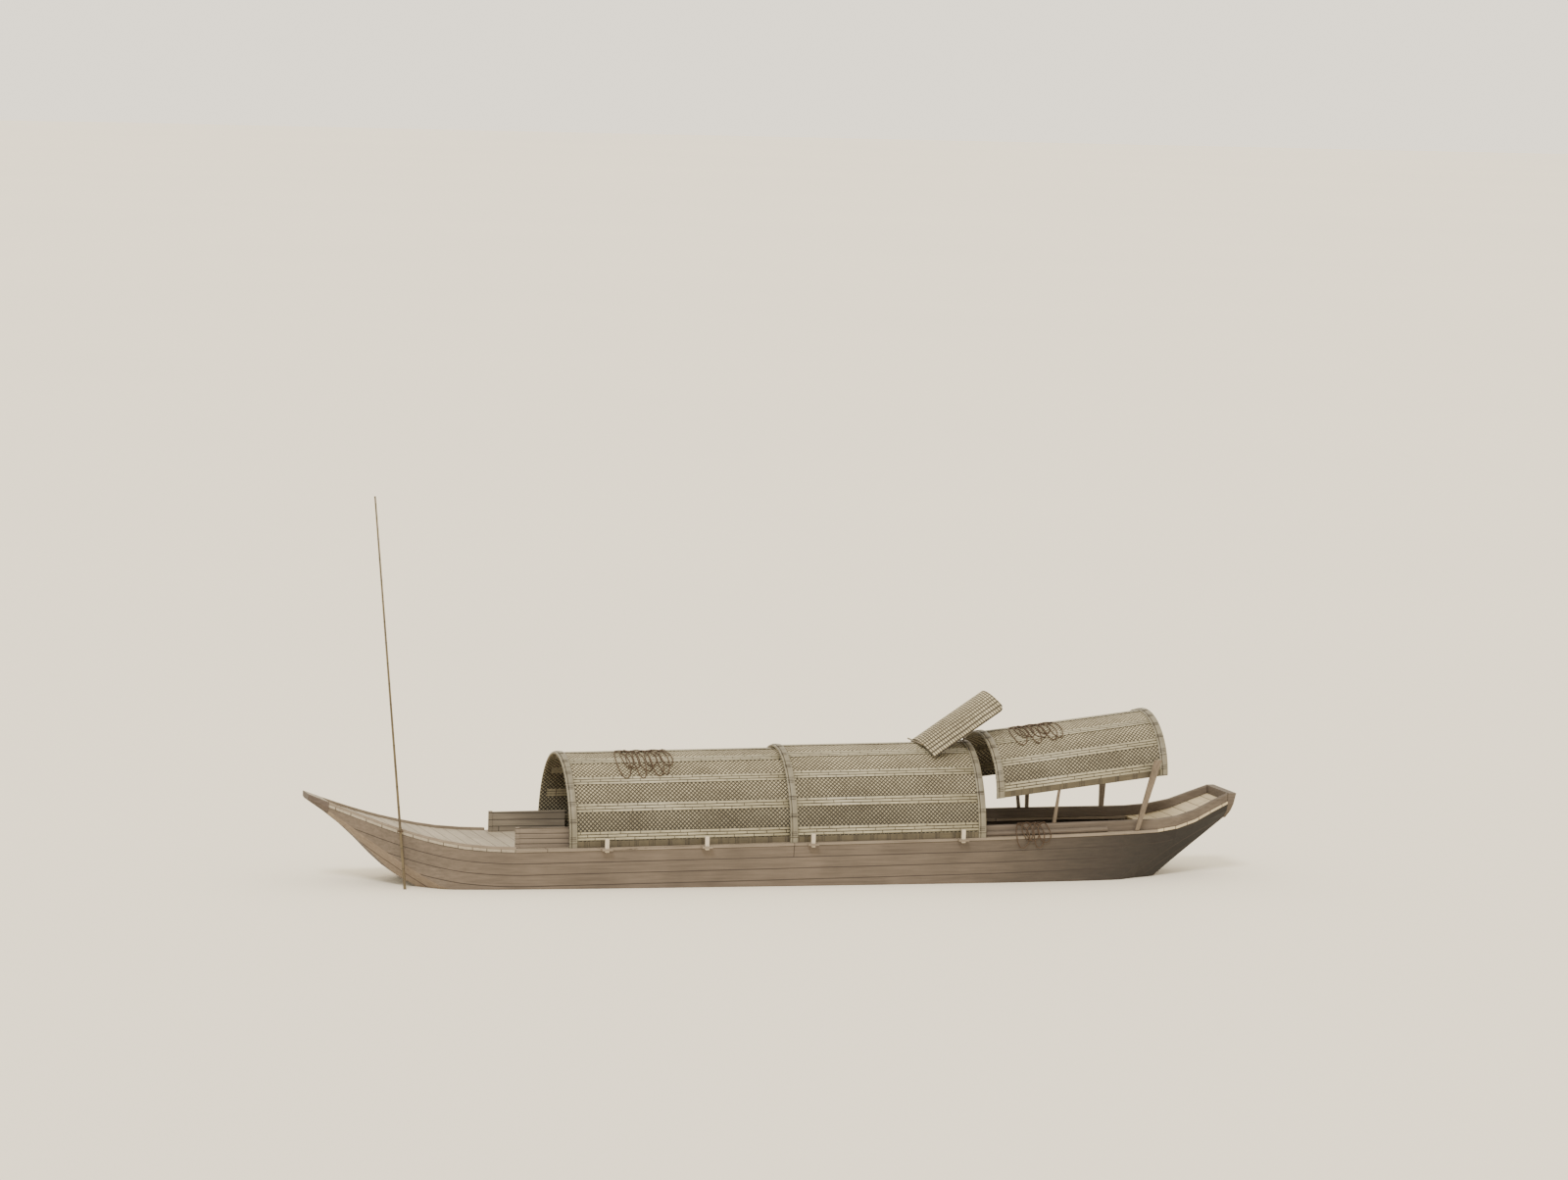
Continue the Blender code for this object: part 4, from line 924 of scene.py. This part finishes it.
def lay_on_itself(plan, room):
    """Lift each point of a rope over the turns that already lie under it, with low humps.

    Points up to neighbours apart along the rope don't lie on each other.
    """
    lifts = [0.0] * len(plan)
    neighbours, passes = 4, 8
    for _ in range(passes):
        for i, (u, v) in enumerate(plan):
            for j in range(i - neighbours):
                near = math.hypot(u - plan[j][0], v - plan[j][1])
                if near < room:
                    lifts[i] = max(lifts[i], lifts[j] + math.sqrt(room * room - near * near))
        for order in (range(1, len(plan)), range(len(plan) - 2, -1, -1)):
            for i in order:
                j = i - 1 if order.step == 1 else i + 1
                run = math.hypot(plan[i][0] - plan[j][0], plan[i][1] - plan[j][1])
                lifts[i] = max(lifts[i], lifts[j] - HUMP_SLOPE * run)
    return lifts


def scrawl(start, end, turns, top, reach):
    """Slack loops side by side along u, like running handwriting, none of them like the next.

    top and reach are how far from the roof's ridge, or from the rail's inner edge, the loops
    start and end.
    """
    plan = []
    for i in range(round(turns * LOOP_POINTS) + 1):
        t = i / LOOP_POINTS
        # Width, top and foot of the loops wander slowly, so that no two are alike
        swing = 0.85 + 0.10 * math.sin(2.9 * t + 0.4) + 0.05 * math.sin(7.3 * t)
        u = start + (end - start) * t / turns - LOOP_HALF * swing * math.sin(math.tau * t)
        high = top + 0.07 * reach * (1.0 + math.sin(2.2 * t + 2.0))
        low = reach * (0.84 + 0.15 * math.sin(1.9 * t + 1.0))
        plan.append((u, high + (low - high) * (1.0 - math.cos(math.tau * t)) / 2))
    return plan


def tube(name, way, diameter, closed=False):
    """Round rope along a way, its map in metres along it and round it, and the way's length."""
    line = bpy.data.curves.new(name, "CURVE")
    line.dimensions = "3D"
    line.bevel_depth = diameter / 2
    line.bevel_resolution = 2
    line.use_fill_caps = not closed
    spline = line.splines.new("POLY")
    spline.use_cyclic_u = closed
    spline.points.add(len(way) - 1)
    for point, co in zip(spline.points, way):
        point.co = (*co, 1.0)
    guide = bpy.data.objects.new(name + "_line", line)
    bpy.context.scene.collection.objects.link(guide)
    mesh = bpy.data.meshes.new_from_object(guide.evaluated_get(bpy.context.evaluated_depsgraph_get()))
    bpy.data.objects.remove(guide, do_unlink=True)
    length = sum((b - a).length for a, b in zip(way, way[1:]))
    for loop in mesh.uv_layers[0].data:
        loop.uv = (loop.uv[0] * length, loop.uv[1] * math.pi * diameter)
    mesh.uv_layers[0].name = "UVMap"
    mesh.materials.clear()
    mesh.materials.append(ROPE)
    mesh.name = name
    piece = bpy.data.objects.new(name, mesh)
    bpy.context.scene.collection.objects.link(piece)
    return piece, length


def build_rope(name, node, plan, surface, seat):
    """Rope of one length that lies where its plan says, on the surface and on itself."""
    lifts = lay_on_itself(plan, 1.02 * ROPE_DIAMETER)
    way = [surface.at(u, v, seat + ROPE_DIAMETER / 2 + lift) for (u, v), lift in zip(plan, lifts)]
    piece, length = tube(name, way, ROPE_DIAMETER)
    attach(piece, body_of(node))
    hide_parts(node)


def touch(node, start, way):
    """Where a ray first meets a CAD node."""
    mesh = frame["nodes"][node].data
    shell = BVHTree.FromPolygons([v.co for v in mesh.vertices], [p.vertices[:] for p in mesh.polygons])
    return shell.ray_cast(Vector(start), Vector(way))[0]


class Overboard:
    """Way of a hung rope over the port rail and the spar and down past the ledge's edge."""

    def __init__(self, x0, x1):
        self.x = (x0, x1)
        self.ends = [self.corners_at(x) for x in self.x]
        self.reach = min(sum((b - a).length for a, b in zip(way, way[1:])) for way in self.ends)

    def corners_at(self, x):
        """Corners of the way at x, as (y, z), found with rays from inboard, above and outboard."""
        rail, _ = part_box("quarter_rail_port")
        inner = touch("quarter_rail_port", (x, 0.0, rail.z + FOOT_RAIL), TO_PORT).y
        top = touch("quarter_rail_port", (x, inner + 0.04, AFAR), DOWN).z
        outer = touch("quarter_rail_port", (x, AFAR, top - 0.03), TO_STARBOARD).y
        spar = touch("side_spar", (x, outer + 0.08, AFAR), DOWN)
        edge = touch("ledge_port", (x, AFAR, rail.z - 0.02), TO_STARBOARD).y
        deck = touch("ledge_port", (x, edge - 0.02, AFAR), DOWN).z
        return [Vector(p) for p in ((inner - 0.01, top), (outer, top), (spar.y + 0.02, spar.z - 0.01),
                                    (edge, deck), (edge, deck - HANK_DROP))]

    @staticmethod
    def along(corners, way):
        """Point at a way along the straight runs between the corners."""
        for a, b in zip(corners, corners[1:]):
            run = (b - a).length
            if way <= run or b is corners[-1]:
                return a + (b - a) * (way / run)
            way -= run

    def at(self, x, way, lift):
        """Point at x, a way from the first corner and a lift off the wood, the corners eased."""
        share = (x - self.x[0]) / (self.x[1] - self.x[0])
        corners = [a.lerp(b, share) for a, b in zip(*self.ends)]
        before, here, after = (self.along(corners, way + step) for step in (-EDGE_BEND, 0.0, EDGE_BEND))
        run = (after - before).normalized()
        out = Vector((-run.y, run.x)) * lift
        spot = (before + 2 * here + after) / 4 + out
        return Vector((x, spot.x, spot.y))


def build_ropes():
    """Three hanks: one over each fixed roof, and one over the port quarter."""
    for name, arch, turns, reach in (("front_roof", FRONT, 9.0, FRONT_HANK_REACH),
                                     ("canopy", CANOPY, 8.0, CANOPY_HANK_REACH)):
        low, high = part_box(name + "_rope")
        plan = scrawl(high.x - HANK_MARGIN, low.x + HANK_MARGIN, turns, 0.0, reach)
        build_rope(name + "_hank", name + "_rope", plan, arch, LATH_THICK + LATH_CLEAR)
    low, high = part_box("quarter_rope")
    over = Overboard(low.x, high.x)
    plan = scrawl(high.x - HANK_MARGIN, low.x + HANK_MARGIN, 5.0, 0.02, over.reach)
    build_rope("quarter_hank", "quarter_rope", plan, over, RAIL_CLEAR)


def build_grommet():
    """Ring of rope that holds the pole to the fore rail."""
    low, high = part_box("pole_grommet")
    middle = (low + high) / 2
    thick = high.z - low.z
    reach = (high.x - low.x - thick) / 2
    way = [middle + Vector((reach * math.cos(turn), reach * math.sin(turn), 0.0))
           for turn in (math.tau * i / 32 for i in range(32))]
    piece, _ = tube("pole_ring", way, thick, closed=True)
    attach(piece, body_of("pole_grommet"))
    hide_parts("pole_grommet")


# Studio

def waterline_outline():
    """Outline of the planking at the waterline, inside the planks' thickness."""
    end, step = 7.5, 0.20
    port = []
    x = -end
    while x < end:
        hits = [touch(node, (x, 5.0, WATERLINE), TO_STARBOARD)
                for node in ("side_planking_port", "bilge_planking_port", "bottom_planking")]
        reach = max((h.y for h in hits if h is not None), default=0.0)
        if reach > 0.3:
            port.append((x, reach - PLANK_INSET))
        x += step
    return port + [(x, -y) for x, y in reversed(port)]


def build_floor():
    """Pale floor at the waterline, open where the hull stands."""
    bm = bmesh.new()
    corners = [(x * FLOOR_REACH, y * FLOOR_REACH) for x, y in ((-1, -1), (1, -1), (1, 1), (-1, 1))]
    for outline in (waterline_outline(), corners):
        loop = [bm.verts.new((x, y, WATERLINE)) for x, y in outline]
        for a, b in zip(loop, loop[1:] + loop[:1]):
            bm.edges.new((a, b))
    bmesh.ops.triangle_fill(bm, use_beauty=True, edges=bm.edges[:], normal=(0.0, 0.0, 1.0))
    mesh = bpy.data.meshes.new("floor")
    bm.to_mesh(mesh)
    bm.free()
    made, tree = start_material("studio_paper")
    speckle = add_node(tree, "ShaderNodeTexNoise", {"Scale": 40.0, "Detail": 2.0})
    tone = add_node(tree, "ShaderNodeMix",
                    {0: speckle.outputs[0], 6: linear("#e6dfd1"), 7: linear("#ebe4d4")},
                    data_type="RGBA")
    close_material(tree, tone.outputs[2], 0.95, speckle.outputs[0], 0.0005)
    mesh.materials.append(made)
    floor = bpy.data.objects.new("floor", mesh)
    bpy.context.scene.collection.objects.link(floor)


def build_light():
    """Pale sky all round and one broad sun from over the bow's near side."""
    world = bpy.data.worlds.new("studio")
    world.use_nodes = True
    background = world.node_tree.nodes["Background"]
    background.inputs["Color"].default_value = linear(SKY_COLOUR)
    background.inputs["Strength"].default_value = SKY_STRENGTH
    bpy.context.scene.world = world
    sun = bpy.data.lights.new("sun", "SUN")
    sun.energy = SUN_STRENGTH
    sun.angle = math.radians(SUN_SPREAD)
    sun.color = SUN_TINT
    lamp = bpy.data.objects.new("sun", sun)
    lamp.rotation_mode = "QUATERNION"
    lamp.rotation_quaternion = Vector(SUN_FROM).to_track_quat("Z", "Y")
    lamp.location = Vector(SUN_FROM) * 10
    bpy.context.scene.collection.objects.link(lamp)


def build_camera():
    """Long lens on the near side, a little towards the bow, the boat low in the frame."""
    a, e = math.radians(VIEW_AZIMUTH), math.radians(VIEW_ELEVATION)
    back = Vector((math.sin(a) * math.cos(e), -math.cos(a) * math.cos(e), math.sin(e)))
    data = bpy.data.cameras.new("view")
    data.sensor_width = 36.0
    data.lens = data.sensor_width * VIEW_DISTANCE * PIXELS_PER_METRE / PHOTO_SIZE[0]
    data.clip_end = 3000.0
    camera = bpy.data.objects.new("view", data)
    camera.rotation_mode = "QUATERNION"
    roll = Matrix.Rotation(math.radians(VIEW_ROLL), 3, "Z").to_quaternion()
    camera.rotation_quaternion = back.to_track_quat("Z", "Y") @ roll
    camera.location = Vector(VIEW_AIM) + back * VIEW_DISTANCE
    bpy.context.scene.collection.objects.link(camera)
    bpy.context.scene.camera = camera


build_floor()
build_light()
build_camera()
finish_wood()
build_mat("front_roof_mat", FRONT)
build_mat("middle_roof_mat", MIDDLE)
build_mat("canopy_mat", CANOPY)
build_roof_frame("front_roof", FRONT, LATH_BANDS, "hull", LATH_THICK)
build_roof_frame("middle_roof", MIDDLE, LATH_BANDS, "sliding_roof", RIM_THICK)
build_roof_frame("canopy", CANOPY, CANOPY_BANDS, "hull", RIM_THICK)
build_flap()
build_sticks()
build_ropes()
build_grommet()
